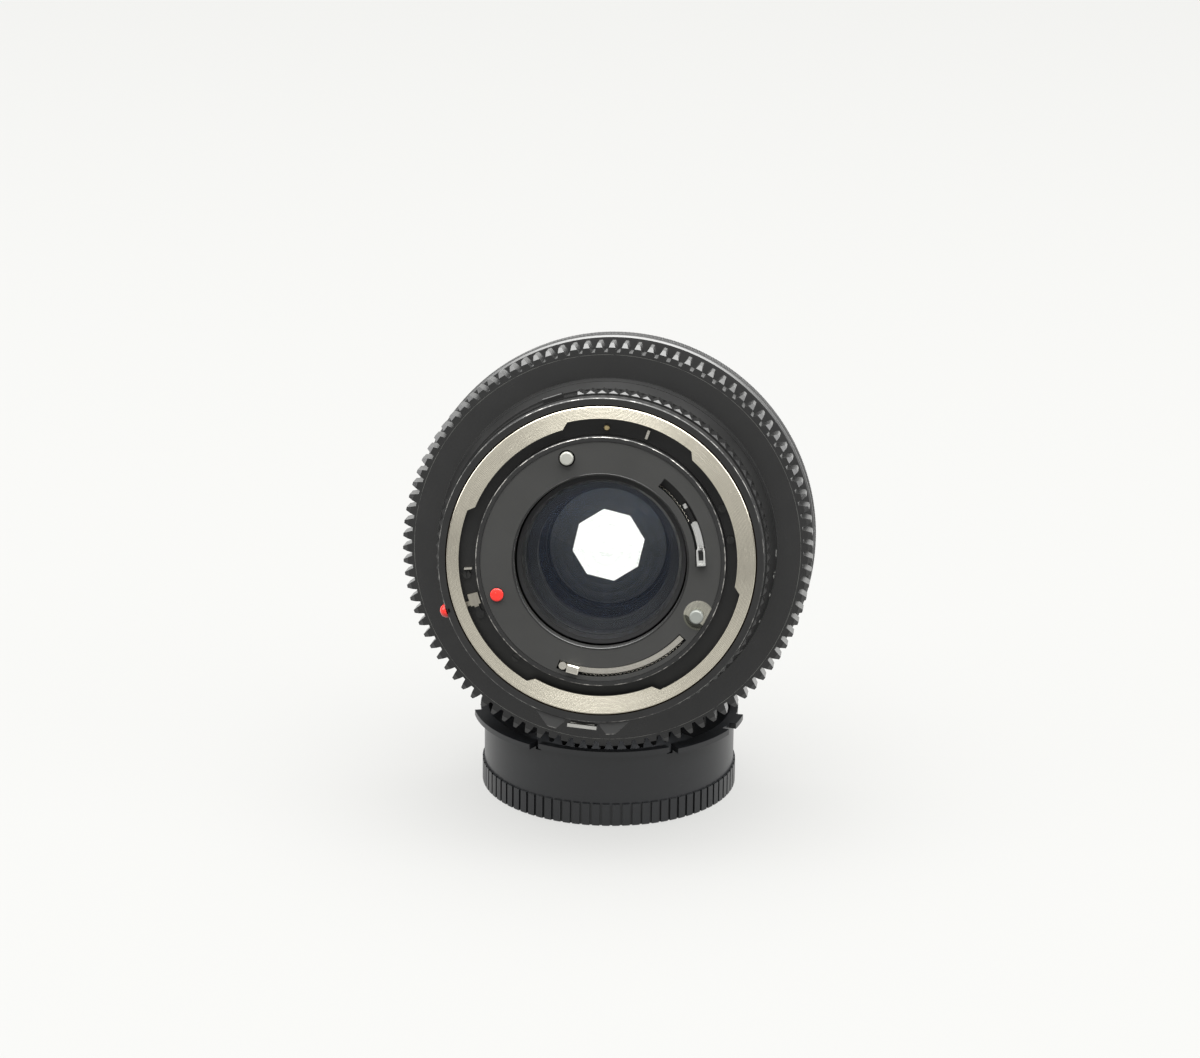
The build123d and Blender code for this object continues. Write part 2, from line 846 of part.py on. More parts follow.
# Full-aperture signal pin, which stands on the shelf and through the plate
with BuildPart() as signal_pin:
    disc(signal_pin_place, signal_pin_radius, plate_face - pin_standing, shelf_station)
    fillet(signal_pin.faces().sort_by(lens_axis)[0].edges(), radius=signal_pin_radius / 4)
signal_pin.part.label = "signal_pin"
export_step(signal_pin.part, "parts/signal_pin.step")

# Cup of the reserved pin, cut off where it meets the rim
with BuildPart() as reserved_pin_cup:
    disc(cup_place, cup_radius, plate_face, plate_front)
    disc(cup_place, cup_radius - cup_wall, plate_face, plate_front - cup_floor, mode=Mode.SUBTRACT)
    ring(plate_radius, plate_radius + cup_radius, plate_face, plate_front, mode=Mode.SUBTRACT)
reserved_pin_cup.part.label = "reserved_pin_cup"
export_step(reserved_pin_cup.part, "parts/reserved_pin_cup.step")

# Reserved pin in its cup
reserved_pin_place = (housing_bore - reserved_pin_inset, reserved_pin_angle)
with BuildPart() as reserved_pin:
    disc(reserved_pin_place, reserved_pin_radius, plate_face - pin_standing, plate_front - cup_floor)
    fillet(reserved_pin.faces().sort_by(lens_axis)[0].edges(), radius=reserved_pin_radius / 4)
reserved_pin.part.label = "reserved_pin"
export_step(reserved_pin.part, "parts/reserved_pin.step")

# Ring that holds the housing in the core, behind the core's shoulder
with BuildPart() as housing_retainer:
    ring(ledge_bore, housing_radius + retainer_lap, housing_front, retainer_front)
housing_retainer.part.label = "housing_retainer"
export_step(housing_retainer.part, "parts/housing_retainer.step")

# Automatic diaphragm lever: a curved strip with a block that stands through the plate
auto_middle = (auto_inner + auto_outer) / 2
with BuildPart() as auto_lever:
    sector(station(strip_front), auto_inner, auto_outer, auto_start, auto_sweep, lever_strip)
    block(
        (auto_middle, auto_block_angle),
        auto_block_width,
        auto_block_length,
        plate_face - lever_standing,
        strip_rear,
    )
    chamfer(auto_lever.faces().sort_by(lens_axis)[0].edges(), length=lever_chamfer)
    disc(
        (auto_middle, auto_stud_angle),
        auto_stud_radius,
        plate_face - auto_stud_standing,
        strip_rear,
    )
auto_lever.part.label = "auto_lever"
export_step(auto_lever.part, "parts/auto_lever.step")

# Aperture signal lever: its tip is a folded box, and its tail ends in a hook for the spring
signal_middle = (signal_inner + signal_outer) / 2
signal_tip_rear = plate_face - signal_tip_standing
with BuildPart() as signal_lever:
    sector(station(strip_front), signal_inner, signal_outer, signal_start, signal_sweep, lever_strip)
    sector(
        station(strip_front),
        signal_inner + signal_tail_margin,
        signal_outer - signal_tail_margin,
        signal_start + signal_sweep,
        signal_tail_end - signal_start - signal_sweep,
        lever_strip / 2,
    )
    block(
        (signal_middle, signal_hook_angle),
        signal_width - 2 * signal_tail_margin,
        signal_hook_width,
        plate_front,
        strip_front - lever_strip / 2,
    )
    block(
        (signal_middle, signal_tip_angle),
        signal_tip_width,
        signal_tip_length,
        signal_tip_rear,
        strip_rear,
    )
    block(
        (signal_middle, signal_tip_angle),
        signal_tip_width - 2 * signal_tip_wall,
        signal_tip_length - 2 * signal_tip_wall,
        signal_tip_rear,
        signal_tip_rear + signal_tip_hollow,
        mode=Mode.SUBTRACT,
    )
signal_lever.part.label = "signal_lever"
export_step(signal_lever.part, "parts/signal_lever.step")


def curved_spring(radius, arc):
    """Turn a thin round spring part of the way round the lens, beside a lever's strip"""
    start_plane = outward(arc[0], (strip_rear + strip_front) / 2)
    wire_plane = Plane(
        origin=start_plane.origin + start_plane.z_dir * radius,
        x_dir=start_plane.z_dir,
        z_dir=start_plane.x_dir,
    )
    with BuildSketch(wire_plane) as wire_face:
        Circle(spring_radius)
    revolve(wire_face.sketch, axis=Axis(flange_centre, lens_frame.z_dir), revolution_arc=arc[1])


# Tension springs of the two levers, close coils drawn as round rods
with BuildPart() as auto_lever_spring:
    curved_spring(auto_outer + spring_gap + spring_radius, auto_spring_arc)
auto_lever_spring.part.label = "auto_lever_spring"
export_step(auto_lever_spring.part, "parts/auto_lever_spring.step")

with BuildPart() as signal_lever_spring:
    curved_spring(signal_inner - spring_gap - spring_radius, signal_spring_arc)
signal_lever_spring.part.label = "signal_lever_spring"
export_step(signal_lever_spring.part, "parts/signal_lever_spring.step")

# Aperture ring: rows of small pyramids, and a smooth stretch with the lock button's window
bump_pitch = 360 / aperture_bump_count
smooth_start, smooth_sweep = aperture_smooth
bump_cuts = int(aperture_bump_count * (360 - smooth_sweep) / 360)
lock_button_place = aperture_rear + lock_button_station
aperture_shell = aperture_radius - aperture_wall
with BuildPart() as aperture_ring:
    turn(
        [
            (ring_bore, aperture_rear),
            (bump_radius - aperture_bevel, aperture_rear),
            (bump_radius, aperture_rear + aperture_bevel),
            (bump_radius, aperture_front - aperture_bevel),
            (bump_radius - aperture_bevel, aperture_front),
            (ring_bore, aperture_front),
            (ring_bore, aperture_front - aperture_bearing),
            (aperture_shell, aperture_front - aperture_bearing),
            (aperture_shell, aperture_rear + aperture_bearing),
            (ring_bore, aperture_rear + aperture_bearing),
        ]
    )
    with BuildSketch(station(aperture_front)):
        for cut in range(bump_cuts + 1):
            cut_angle = smooth_start + smooth_sweep + cut * bump_pitch
            with BuildLine():
                Polyline(
                    polar(aperture_radius, cut_angle),
                    polar(bump_radius + aperture_bump, cut_angle - bump_pitch),
                    polar(bump_radius + aperture_bump, cut_angle + bump_pitch),
                    close=True,
                )
            make_face()
    extrude(amount=aperture_width, mode=Mode.SUBTRACT)
    sector(
        station(aperture_front),
        aperture_radius,
        bump_radius + aperture_bump,
        smooth_start,
        smooth_sweep,
        aperture_width,
        mode=Mode.SUBTRACT,
    )
    post(
        lock_button_angle,
        lock_button_place,
        lock_button_size[0] + 2 * stud_play,
        lock_button_size[1] + 2 * stud_play,
        core_radius,
        bump_radius + aperture_bump,
        mode=Mode.SUBTRACT,
    )
aperture_ring.part.label = "aperture_ring"
export_step(aperture_ring.part, "parts/aperture_ring.step")

# Lock button of the aperture ring, kept in by its foot behind the ring's wall
lock_foot_top = sqrt((aperture_shell - stud_play) ** 2 - (lock_button_foot[0] / 2) ** 2)
with BuildPart() as aperture_lock_button:
    post(
        lock_button_angle,
        lock_button_place,
        lock_button_foot[0],
        lock_button_foot[1],
        lock_foot_top - lock_button_foot[2],
        lock_foot_top,
    )
    post(
        lock_button_angle,
        lock_button_place,
        lock_button_size[0],
        lock_button_size[1],
        lock_foot_top,
        aperture_radius + lock_button_rise,
    )
    button_face = aperture_lock_button.faces().sort_by(
        Axis(flange_centre, outward(lock_button_angle, 0).z_dir)
    )[-1]
    fillet(button_face.edges(), radius=lock_button_rise / 3)
aperture_lock_button.part.label = "aperture_lock_button"
export_step(aperture_lock_button.part, "parts/aperture_lock_button.step")

# Focus ring: a sleeve on the core with a shoulder behind the grip and a lip before it
with BuildPart() as focus_ring:
    turn(
        [
            (ring_bore, focus_rear),
            (shoulder_rear_radius, focus_rear),
            (shoulder_front_radius, gear_rear),
            (focus_tube_radius, gear_rear),
            (focus_tube_radius, grip_front),
            (focus_lip_radius, grip_front),
            (focus_lip_radius, focus_front),
            (helicoid_bore, focus_front),
            (helicoid_bore, bearing_front),
            (ring_bore, bearing_front),
        ]
    )
focus_ring.part.label = "focus_ring"
export_step(focus_ring.part, "parts/focus_ring.step")

# Rubber grip, grooved where the gear leaves it bare
with BuildPart() as focus_grip:
    ring(focus_tube_radius, grip_radius, gear_rear, grip_front)
    with BuildSketch(station(grip_front - grip_groove_end)):
        with PolarLocations(grip_radius, grip_groove_count):
            Rectangle(2 * grip_groove_depth, grip_groove_width)
    extrude(amount=grip_front - gear_front - 2 * grip_groove_end, mode=Mode.SUBTRACT)
focus_grip.part.label = "focus_grip"
export_step(focus_grip.part, "parts/focus_grip.step")


def involute(angle):
    """Involute of a pressure angle in degrees, as an angle in degrees"""
    return degrees(tan(radians(angle)) - radians(angle))


def tooth_half_angle(radius):
    """Half the angle that a tooth fills at a radius"""
    pressure = degrees(acos(gear_base_radius / radius))
    tooth_width = pi * gear_module / 2 - gear_backlash
    at_pitch = degrees(tooth_width / (2 * gear_pitch_radius))
    return at_pitch + involute(gear_pressure_angle) - involute(pressure)


def flank(side, centre_angle):
    """Involute flank of a tooth, from its root to past its tip"""
    over_tip = gear_tip_radius + gear_root_depth / 4
    points = []
    for radius in (gear_root_radius, gear_pitch_radius, over_tip):
        points.append(polar(radius, centre_angle + side * tooth_half_angle(radius)))
    return ThreePointArc(*points)


# Drive gear: involute teeth, bevelled at both ends, on a ring that grips the rubber
tooth_pitch = 360 / gear_teeth
with BuildSketch() as tooth_space:
    with BuildLine():
        right_flank = flank(1, -tooth_pitch / 2)
        left_flank = flank(-1, tooth_pitch / 2)
        ThreePointArc(right_flank @ 0, (gear_root_radius, 0), left_flank @ 0)
        Line(right_flank @ 1, left_flank @ 1)
    make_face()
with BuildPart() as drive_gear:
    turn(
        [
            (grip_radius, gear_rear),
            (bevel_radius, gear_rear),
            (gear_tip_radius, gear_rear + tooth_bevel_length),
            (gear_tip_radius, gear_front - tooth_bevel_length),
            (bevel_radius, gear_front),
            (grip_radius, gear_front),
        ]
    )
    with BuildSketch(station(gear_front)):
        with PolarLocations(0, gear_teeth):
            add(tooth_space.sketch)
    extrude(amount=gear_width, mode=Mode.SUBTRACT)
drive_gear.part.label = "drive_gear"
export_step(drive_gear.part, "parts/drive_gear.step")

# Inner barrel, which slides in the core and carries the cells and the iris
with BuildPart() as inner_barrel:
    turn(
        [
            (inner_bore, inner_rear),
            (slide_radius, inner_rear),
            (slide_radius, web_rear),
            (inner_bore, web_rear),
            (inner_bore, iris_seat),
            (inner_flange_bore, iris_seat),
            (inner_flange_bore, inner_flange_rear),
            (inner_bore, inner_flange_rear),
        ]
    )
inner_barrel.part.label = "inner_barrel"
export_step(inner_barrel.part, "parts/inner_barrel.step")

# Keys that run in the core's slots, so that the inner barrel slides without turning
with BuildPart() as guide_keys:
    for key in range(guide_key_count):
        sector(
            station(guide_key_front),
            slide_radius,
            core_radius - side_gap,
            guide_key_angle + key * 360 / guide_key_count - guide_key_sweep / 2,
            guide_key_sweep,
            guide_key_length,
        )
guide_keys.part.label = "guide_keys"
export_step(guide_keys.part, "parts/guide_keys.step")

# Front barrel, on the inner barrel's end: its sleeve runs between the core and the focus ring
with BuildPart() as front_barrel:
    turn(
        [
            (sleeve_bore, sleeve_rear),
            (helicoid_radius, sleeve_rear),
            (helicoid_radius, front_ring_rear),
            (front_thread_radius, front_ring_rear),
            (front_thread_radius, web_front),
            (inner_bore, web_front),
            (inner_bore, web_rear),
            (slide_radius, web_rear),
            (slide_radius, front_barrel_step),
            (sleeve_bore, front_barrel_step),
        ]
    )
front_barrel.part.label = "front_barrel"
export_step(front_barrel.part, "parts/front_barrel.step")

# Front ring, a wide sleeve for mattes and filters, screwed into the front barrel
with BuildPart() as front_ring:
    turn(
        [
            (front_ring_neck_bore, name_ring_front),
            (front_thread_radius, name_ring_front),
            (front_thread_radius, front_ring_rear),
            (front_ring_radius - front_ring_chamfer, front_ring_rear),
            (front_ring_radius, front_ring_rear + front_ring_chamfer),
            (front_ring_radius, front_edge),
            (filter_radius, front_edge),
            (filter_radius, front_ring_rear + front_ring_web),
            (front_ring_neck_bore, front_ring_rear + front_ring_web),
        ]
    )
front_ring.part.label = "front_ring"
export_step(front_ring.part, "parts/front_ring.step")

# Bare name ring, whose skirt keeps the front glass in
with BuildPart() as name_ring:
    turn(
        [
            (name_ring_bore, front_glass_front + rim_gap),
            (front_rim, front_glass_front + rim_gap),
            (front_rim, web_front),
            (front_thread_radius, web_front),
            (front_thread_radius, name_ring_front),
            (name_ring_bore, name_ring_front),
        ]
    )
name_ring.part.label = "name_ring"
export_step(name_ring.part, "parts/name_ring.step")

# Front cell, bored in steps for three elements that go in from the front
with BuildPart() as front_cell:
    turn(
        [
            (third_rim - front_cell_lip, iris_cover_front),
            (inner_bore, iris_cover_front),
            (inner_bore, web_front),
            (front_rim, web_front),
            (front_rim, front_glass_rear),
            (second_rim, front_glass_rear),
            (second_rim, second_glass_rear),
            (third_rim, second_glass_rear),
            (third_rim, third_glass_rear),
            (third_rim - front_cell_lip, third_glass_rear),
        ]
    )
front_cell.part.label = "front_cell"
export_step(front_cell.part, "parts/front_cell.step")

# Rear cell, bored from both ends, with a lip between the sixth element and the doublet
middle_bore = doublet_rim - middle_lip
with BuildPart() as rear_cell:
    turn(
        [
            (rear_ring_radius, cell_rear),
            (rear_cell_radius, cell_rear),
            (rear_cell_radius, cell_rear + rear_cell_step),
            (rear_cell_body_radius, cell_rear + rear_cell_step),
            (rear_cell_body_radius, inner_flange_rear),
            (doublet_rim, inner_flange_rear),
            (doublet_rim, doublet_rear - lip_gap),
            (middle_bore, doublet_rear - lip_gap),
            (middle_bore, sixth_glass_front + lip_gap),
            (sixth_rim, sixth_glass_front + lip_gap),
            (sixth_rim, rear_glass_front + rim_gap),
            (rear_rim, rear_glass_front + rim_gap),
            (rear_rim, rear_ring_front),
            (rear_ring_radius, rear_ring_front),
        ]
    )
rear_cell.part.label = "rear_cell"
export_step(rear_cell.part, "parts/rear_cell.step")

# Ring that keeps the rear glass in, coned inside
with BuildPart() as rear_retaining_ring:
    turn(
        [
            (rear_ring_radius - rim_gap, cell_rear),
            (rear_ring_radius, cell_rear),
            (rear_ring_radius, rear_ring_front),
            (rear_ring_bore, rear_ring_front),
            (rear_ring_bore, rear_ring_front - rim_gap),
        ]
    )
rear_retaining_ring.part.label = "rear_retaining_ring"
export_step(rear_retaining_ring.part, "parts/rear_retaining_ring.step")


def glass(rim_radius, shape, rear):
    """Turn a lens element whose rim starts at a station"""
    rim_thickness, rear_bulge, front_bulge = shape
    front = rear + rim_thickness
    with BuildSketch(section) as profile:
        with BuildLine():
            TangentArc((0, rear - rear_bulge), (rim_radius, rear), tangent=(1, 0))
            Line((rim_radius, rear), (rim_radius, front))
            TangentArc((0, front + front_bulge), (rim_radius, front), tangent=(1, 0))
            Line((0, front + front_bulge), (0, rear - rear_bulge))
        make_face()
    revolve(profile.sketch, axis=lens_axis)


# Seven elements in six groups
with BuildPart() as front_element:
    glass(front_rim, front_glass, front_glass_rear)
front_element.part.label = "front_element"
export_step(front_element.part, "parts/front_element.step")

with BuildPart() as second_element:
    glass(second_rim, second_glass, second_glass_rear)
second_element.part.label = "second_element"
export_step(second_element.part, "parts/second_element.step")

with BuildPart() as third_element:
    glass(third_rim, third_glass, third_glass_rear)
third_element.part.label = "third_element"
export_step(third_element.part, "parts/third_element.step")

with BuildPart() as doublet_front_element:
    glass(doublet_rim, doublet_front_glass, doublet_seam)
doublet_front_element.part.label = "doublet_front_element"
export_step(doublet_front_element.part, "parts/doublet_front_element.step")

with BuildPart() as doublet_rear_element:
    glass(doublet_rim, doublet_rear_glass, doublet_rear)
doublet_rear_element.part.label = "doublet_rear_element"
export_step(doublet_rear_element.part, "parts/doublet_rear_element.step")

with BuildPart() as sixth_element:
    glass(sixth_rim, sixth_glass, sixth_glass_front - sixth_glass[0])
sixth_element.part.label = "sixth_element"
export_step(sixth_element.part, "parts/sixth_element.step")

with BuildPart() as rear_element:
    glass(rear_rim, rear_glass, rear_glass_rear)
rear_element.part.label = "rear_element"
export_step(rear_element.part, "parts/rear_element.step")

# Iris base, with a hole for the root stud of each blade
with BuildPart() as iris_base:
    ring(iris_base_bore, inner_bore, iris_seat, iris_base_front)
    with BuildSketch(station(iris_base_front)):
        with PolarLocations(blade_pivot, blade_count, start_angle=blade_first_angle):
            Circle(stud_radius + stud_play)
    extrude(amount=iris_base_thickness, mode=Mode.SUBTRACT)
iris_base.part.label = "iris_base"
export_step(iris_base.part, "parts/iris_base.step")

# Iris cover, a plain ring under the front cell
with BuildPart() as iris_cover:
    ring(iris_cover_bore, inner_bore, iris_cover_rear, iris_cover_front)
iris_cover.part.label = "iris_cover"
export_step(iris_cover.part, "parts/iris_cover.step")


def blade_angle(index):
    """Angle of a blade's pivot round the lens"""
    return blade_first_angle + index * 360 / blade_count


def tail_place(share):
    """Place of a tail stud in the actuator, from open (0) to closed (1), its pivot at angle 0"""
    lift = radians(blade_swing * share)
    pivot_x, pivot_y = polar(blade_pivot, 0)
    tail_x, tail_y = polar(blade_pivot, -blade_tail_angle)
    arm_x, arm_y = tail_x - pivot_x, tail_y - pivot_y
    x = pivot_x + arm_x * cos(lift) - arm_y * sin(lift)
    y = pivot_y + arm_x * sin(lift) + arm_y * cos(lift)
    return hypot(x, y), degrees(atan2(y, x)) - actuator_swing * (share - blade_share)


# Iris actuator, a turning ring whose slots carry the tail studs of the blades
with BuildPart() as iris_actuator:
    ring(iris_base_bore, actuator_radius, actuator_rear, actuator_front)
    with BuildSketch(station(actuator_front)):
        for index in range(blade_count):
            path_points = []
            for share in (0, 0.5, 1):
                path_radius, path_angle = tail_place(share)
                path_points.append(polar(path_radius, path_angle + blade_angle(index)))
            with BuildLine(mode=Mode.PRIVATE) as path:
                ThreePointArc(*path_points)
            SlotArc(path.line.edge(), 2 * (stud_radius + stud_play))
    extrude(amount=actuator_thickness, mode=Mode.SUBTRACT)
iris_actuator.part.label = "iris_actuator"
export_step(iris_actuator.part, "parts/iris_actuator.step")


def iris_blade(index):
    """Blade with its two studs, drawn from its pivot with x away from the lens axis when open"""
    blade_front = iris_base_front + blade_pitch * (index + 1) + blade_thickness
    angle = blade_angle(index)
    turned = angle + blade_rest
    toward = lens_frame.x_dir * cos(radians(turned)) + lens_frame.y_dir * sin(radians(turned))
    pivot = station(blade_front).from_local_coords((*polar(blade_pivot, angle), 0))
    leaf_plane = Plane(origin=pivot, x_dir=toward, z_dir=lens_frame.z_dir)
    tail_x, tail_y = polar(blade_pivot, -blade_tail_angle)
    tail = (tail_x - blade_pivot, tail_y)
    nose_x, nose_y = polar((blade_inner + blade_outer) / 2, blade_start + blade_sweep)
    with BuildPart() as blade:
        with BuildSketch(leaf_plane):
            with BuildLine():
                inner_edge = CenterArc((-blade_pivot, 0), blade_inner, blade_start, blade_sweep)
                outer_edge = CenterArc((-blade_pivot, 0), blade_outer, blade_start, blade_sweep)
                Line(inner_edge @ 0, outer_edge @ 0)
                Line(inner_edge @ 1, outer_edge @ 1)
            make_face()
            with BuildLine():
                arm_inner = CenterArc((-blade_pivot, 0), blade_pivot - stud_radius, 0, -blade_tail_angle)
                arm_outer = CenterArc((-blade_pivot, 0), blade_pivot + stud_radius, 0, -blade_tail_angle)
                Line(arm_inner @ 0, arm_outer @ 0)
                Line(arm_inner @ 1, arm_outer @ 1)
            make_face()
            with Locations((nose_x - blade_pivot, nose_y)):
                Circle((blade_outer - blade_inner) / 2)
            Circle(blade_root_radius)
            with Locations(tail):
                Circle(blade_tail_radius)
        extrude(amount=blade_thickness)
        with BuildSketch(leaf_plane.offset(blade_thickness)):
            Circle(stud_radius)
        extrude(amount=blade_front - blade_thickness - iris_seat - running_gap)
        with BuildSketch(leaf_plane):
            with Locations(tail):
                Circle(stud_radius)
        extrude(amount=blade_front - actuator_front + running_gap)
    return blade.part


# Eight blades, each a step further forward than the last
for blade_index in range(blade_count):
    blade_part = iris_blade(blade_index)
    blade_part.label = f"iris_blade_{blade_index + 1}"
    export_step(blade_part, f"parts/iris_blade_{blade_index + 1}.step")
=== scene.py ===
"""Looks of a cinema prime lens that rests, tilted, on its upturned rear cap.

Every place is worked out in the lens's own frame: stations run forwards from the mount's flange,
and angles run counter-clockwise as seen from behind the lens, with 0 to the right. Sizes are in
millimetres and angles in degrees, unless a name says otherwise.
"""

import json
import logging
import math
from dataclasses import dataclass
from enum import Enum
from typing import Callable, Iterable, Optional, Union

import bmesh
import bpy
from mathutils import Matrix, Vector


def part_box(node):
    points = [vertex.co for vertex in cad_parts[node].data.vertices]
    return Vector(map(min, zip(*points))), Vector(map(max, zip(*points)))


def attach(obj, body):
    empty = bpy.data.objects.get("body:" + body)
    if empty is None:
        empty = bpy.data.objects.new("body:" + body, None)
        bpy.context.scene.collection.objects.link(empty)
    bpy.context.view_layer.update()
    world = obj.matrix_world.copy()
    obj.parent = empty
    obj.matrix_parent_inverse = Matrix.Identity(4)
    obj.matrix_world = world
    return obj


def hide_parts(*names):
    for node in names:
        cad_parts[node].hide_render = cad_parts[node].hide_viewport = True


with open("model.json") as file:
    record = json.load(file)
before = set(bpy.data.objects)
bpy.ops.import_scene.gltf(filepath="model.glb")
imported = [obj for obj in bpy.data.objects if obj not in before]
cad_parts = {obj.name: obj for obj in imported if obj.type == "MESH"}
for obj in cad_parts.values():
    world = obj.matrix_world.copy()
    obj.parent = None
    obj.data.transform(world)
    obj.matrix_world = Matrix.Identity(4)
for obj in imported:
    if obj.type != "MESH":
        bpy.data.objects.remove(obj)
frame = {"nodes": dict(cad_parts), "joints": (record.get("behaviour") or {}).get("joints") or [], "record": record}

logger = logging.getLogger("prime_lens")

Colour = tuple[float, float, float]
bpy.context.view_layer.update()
MILLI = 0.001
# Points that are nearer than this, in metres, are doubles.
DOUBLES_M = 1e-7
# Sockets of a Mix node that blends colours.
MIX_FIRST, MIX_SECOND, MIX_RESULT = 6, 7, 2


class Body(Enum):
    """Moving bodies that carry the scene's own pieces."""

    SHELL = "lens_shell"
    HOUSING = "mount_housing"
    FOCUS = "focus_ring"
    OPTICS = "optics"


def millimetres(*values: float) -> Vector:
    """Vector in metres from millimetres."""
    return Vector(values) * MILLI


@dataclass(frozen=True)
class LensFrame:
    """Where the lens lies in the row frame.

    Attributes:
        centre: centre of the mount's flange.
        rearward: direction along the lens axis, towards the camera body.
    """

    centre: Vector
    rearward: Vector

    @classmethod
    def from_joint(cls, name: str) -> "LensFrame":
        """Read the frame from a hinge that turns about the lens axis at the flange.

        Args:
            name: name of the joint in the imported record.

        Returns:
            The lens frame.
        """
        joint = next(j for j in frame["joints"] if j["name"] == name)
        return cls(Vector(joint["pos_m"]), Vector(joint["axis"]).normalized())

    @property
    def right(self) -> Vector:
        """Direction of angle 0."""
        return Vector((1.0, 0.0, 0.0))

    @property
    def upward(self) -> Vector:
        """Direction of angle 90."""
        return self.rearward.cross(self.right)

    def matrix(self) -> Matrix:
        """Matrix from lens coordinates, with z rearwards, to the row frame."""
        turn = Matrix((self.right, self.upward, self.rearward)).transposed().to_4x4()
        return Matrix.Translation(self.centre) @ turn


LENS = LensFrame.from_joint("mount_lock")
Value = Union[float, "Wire"]


class Wire:
    """Output of a shader node that takes part in Python expressions."""

    def __init__(self, nodes: "Nodes", socket: bpy.types.NodeSocket) -> None:
        """Keep the tree and the socket."""
        self.nodes = nodes
        self.socket = socket

    def math(self, operation: str, *others: Value) -> "Wire":
        """Math node on this value and up to two others.

        Args:
            operation: operation of the Math node.
            others: further inputs.

        Returns:
            The result.
        """
        inputs = {0: self, **{place + 1: other for place, other in enumerate(others)}}
        return self.nodes.add("ShaderNodeMath", {"operation": operation}, inputs)

    def _swapped(self, operation: str, other: Value) -> "Wire":
        """Math node with the other value first."""
        return self.nodes.add("ShaderNodeMath", {"operation": operation}, {0: other, 1: self})

    def __add__(self, other: Value) -> "Wire":
        """Sum."""
        return self.math("ADD", other)

    def __sub__(self, other: Value) -> "Wire":
        """Difference."""
        return self.math("SUBTRACT", other)

    def __rsub__(self, other: Value) -> "Wire":
        """Difference from a number."""
        return self._swapped("SUBTRACT", other)

    def __mul__(self, other: Value) -> "Wire":
        """Product."""
        return self.math("MULTIPLY", other)

    def __truediv__(self, other: Value) -> "Wire":
        """Quotient."""
        return self.math("DIVIDE", other)

    def __rtruediv__(self, other: Value) -> "Wire":
        """Quotient of a number."""
        return self._swapped("DIVIDE", other)

    __radd__ = __add__
    __rmul__ = __mul__

    def swing(self, spread: float) -> "Wire":
        """The value, moved to lie round 0, times a spread."""
        return (self - 0.5) * spread

    def between(self, low: float, high: float, soft: float) -> "Wire":
        """Mask that is 1 from low to high, with soft edges.

        Args:
            low: lower end of the band.
            high: upper end of the band.
            soft: width of each edge.

        Returns:
            The mask.
        """
        return self.rise(low, low + soft) * (1.0 - self.rise(high - soft, high))

    def rise(self, low: float, high: float) -> "Wire":
        """Smooth step from 0 at low to 1 at high."""
        return self.nodes.add(
            "ShaderNodeMapRange",
            {"interpolation_type": "SMOOTHSTEP"},
            {"Value": self, "From Min": low, "From Max": high},
        )


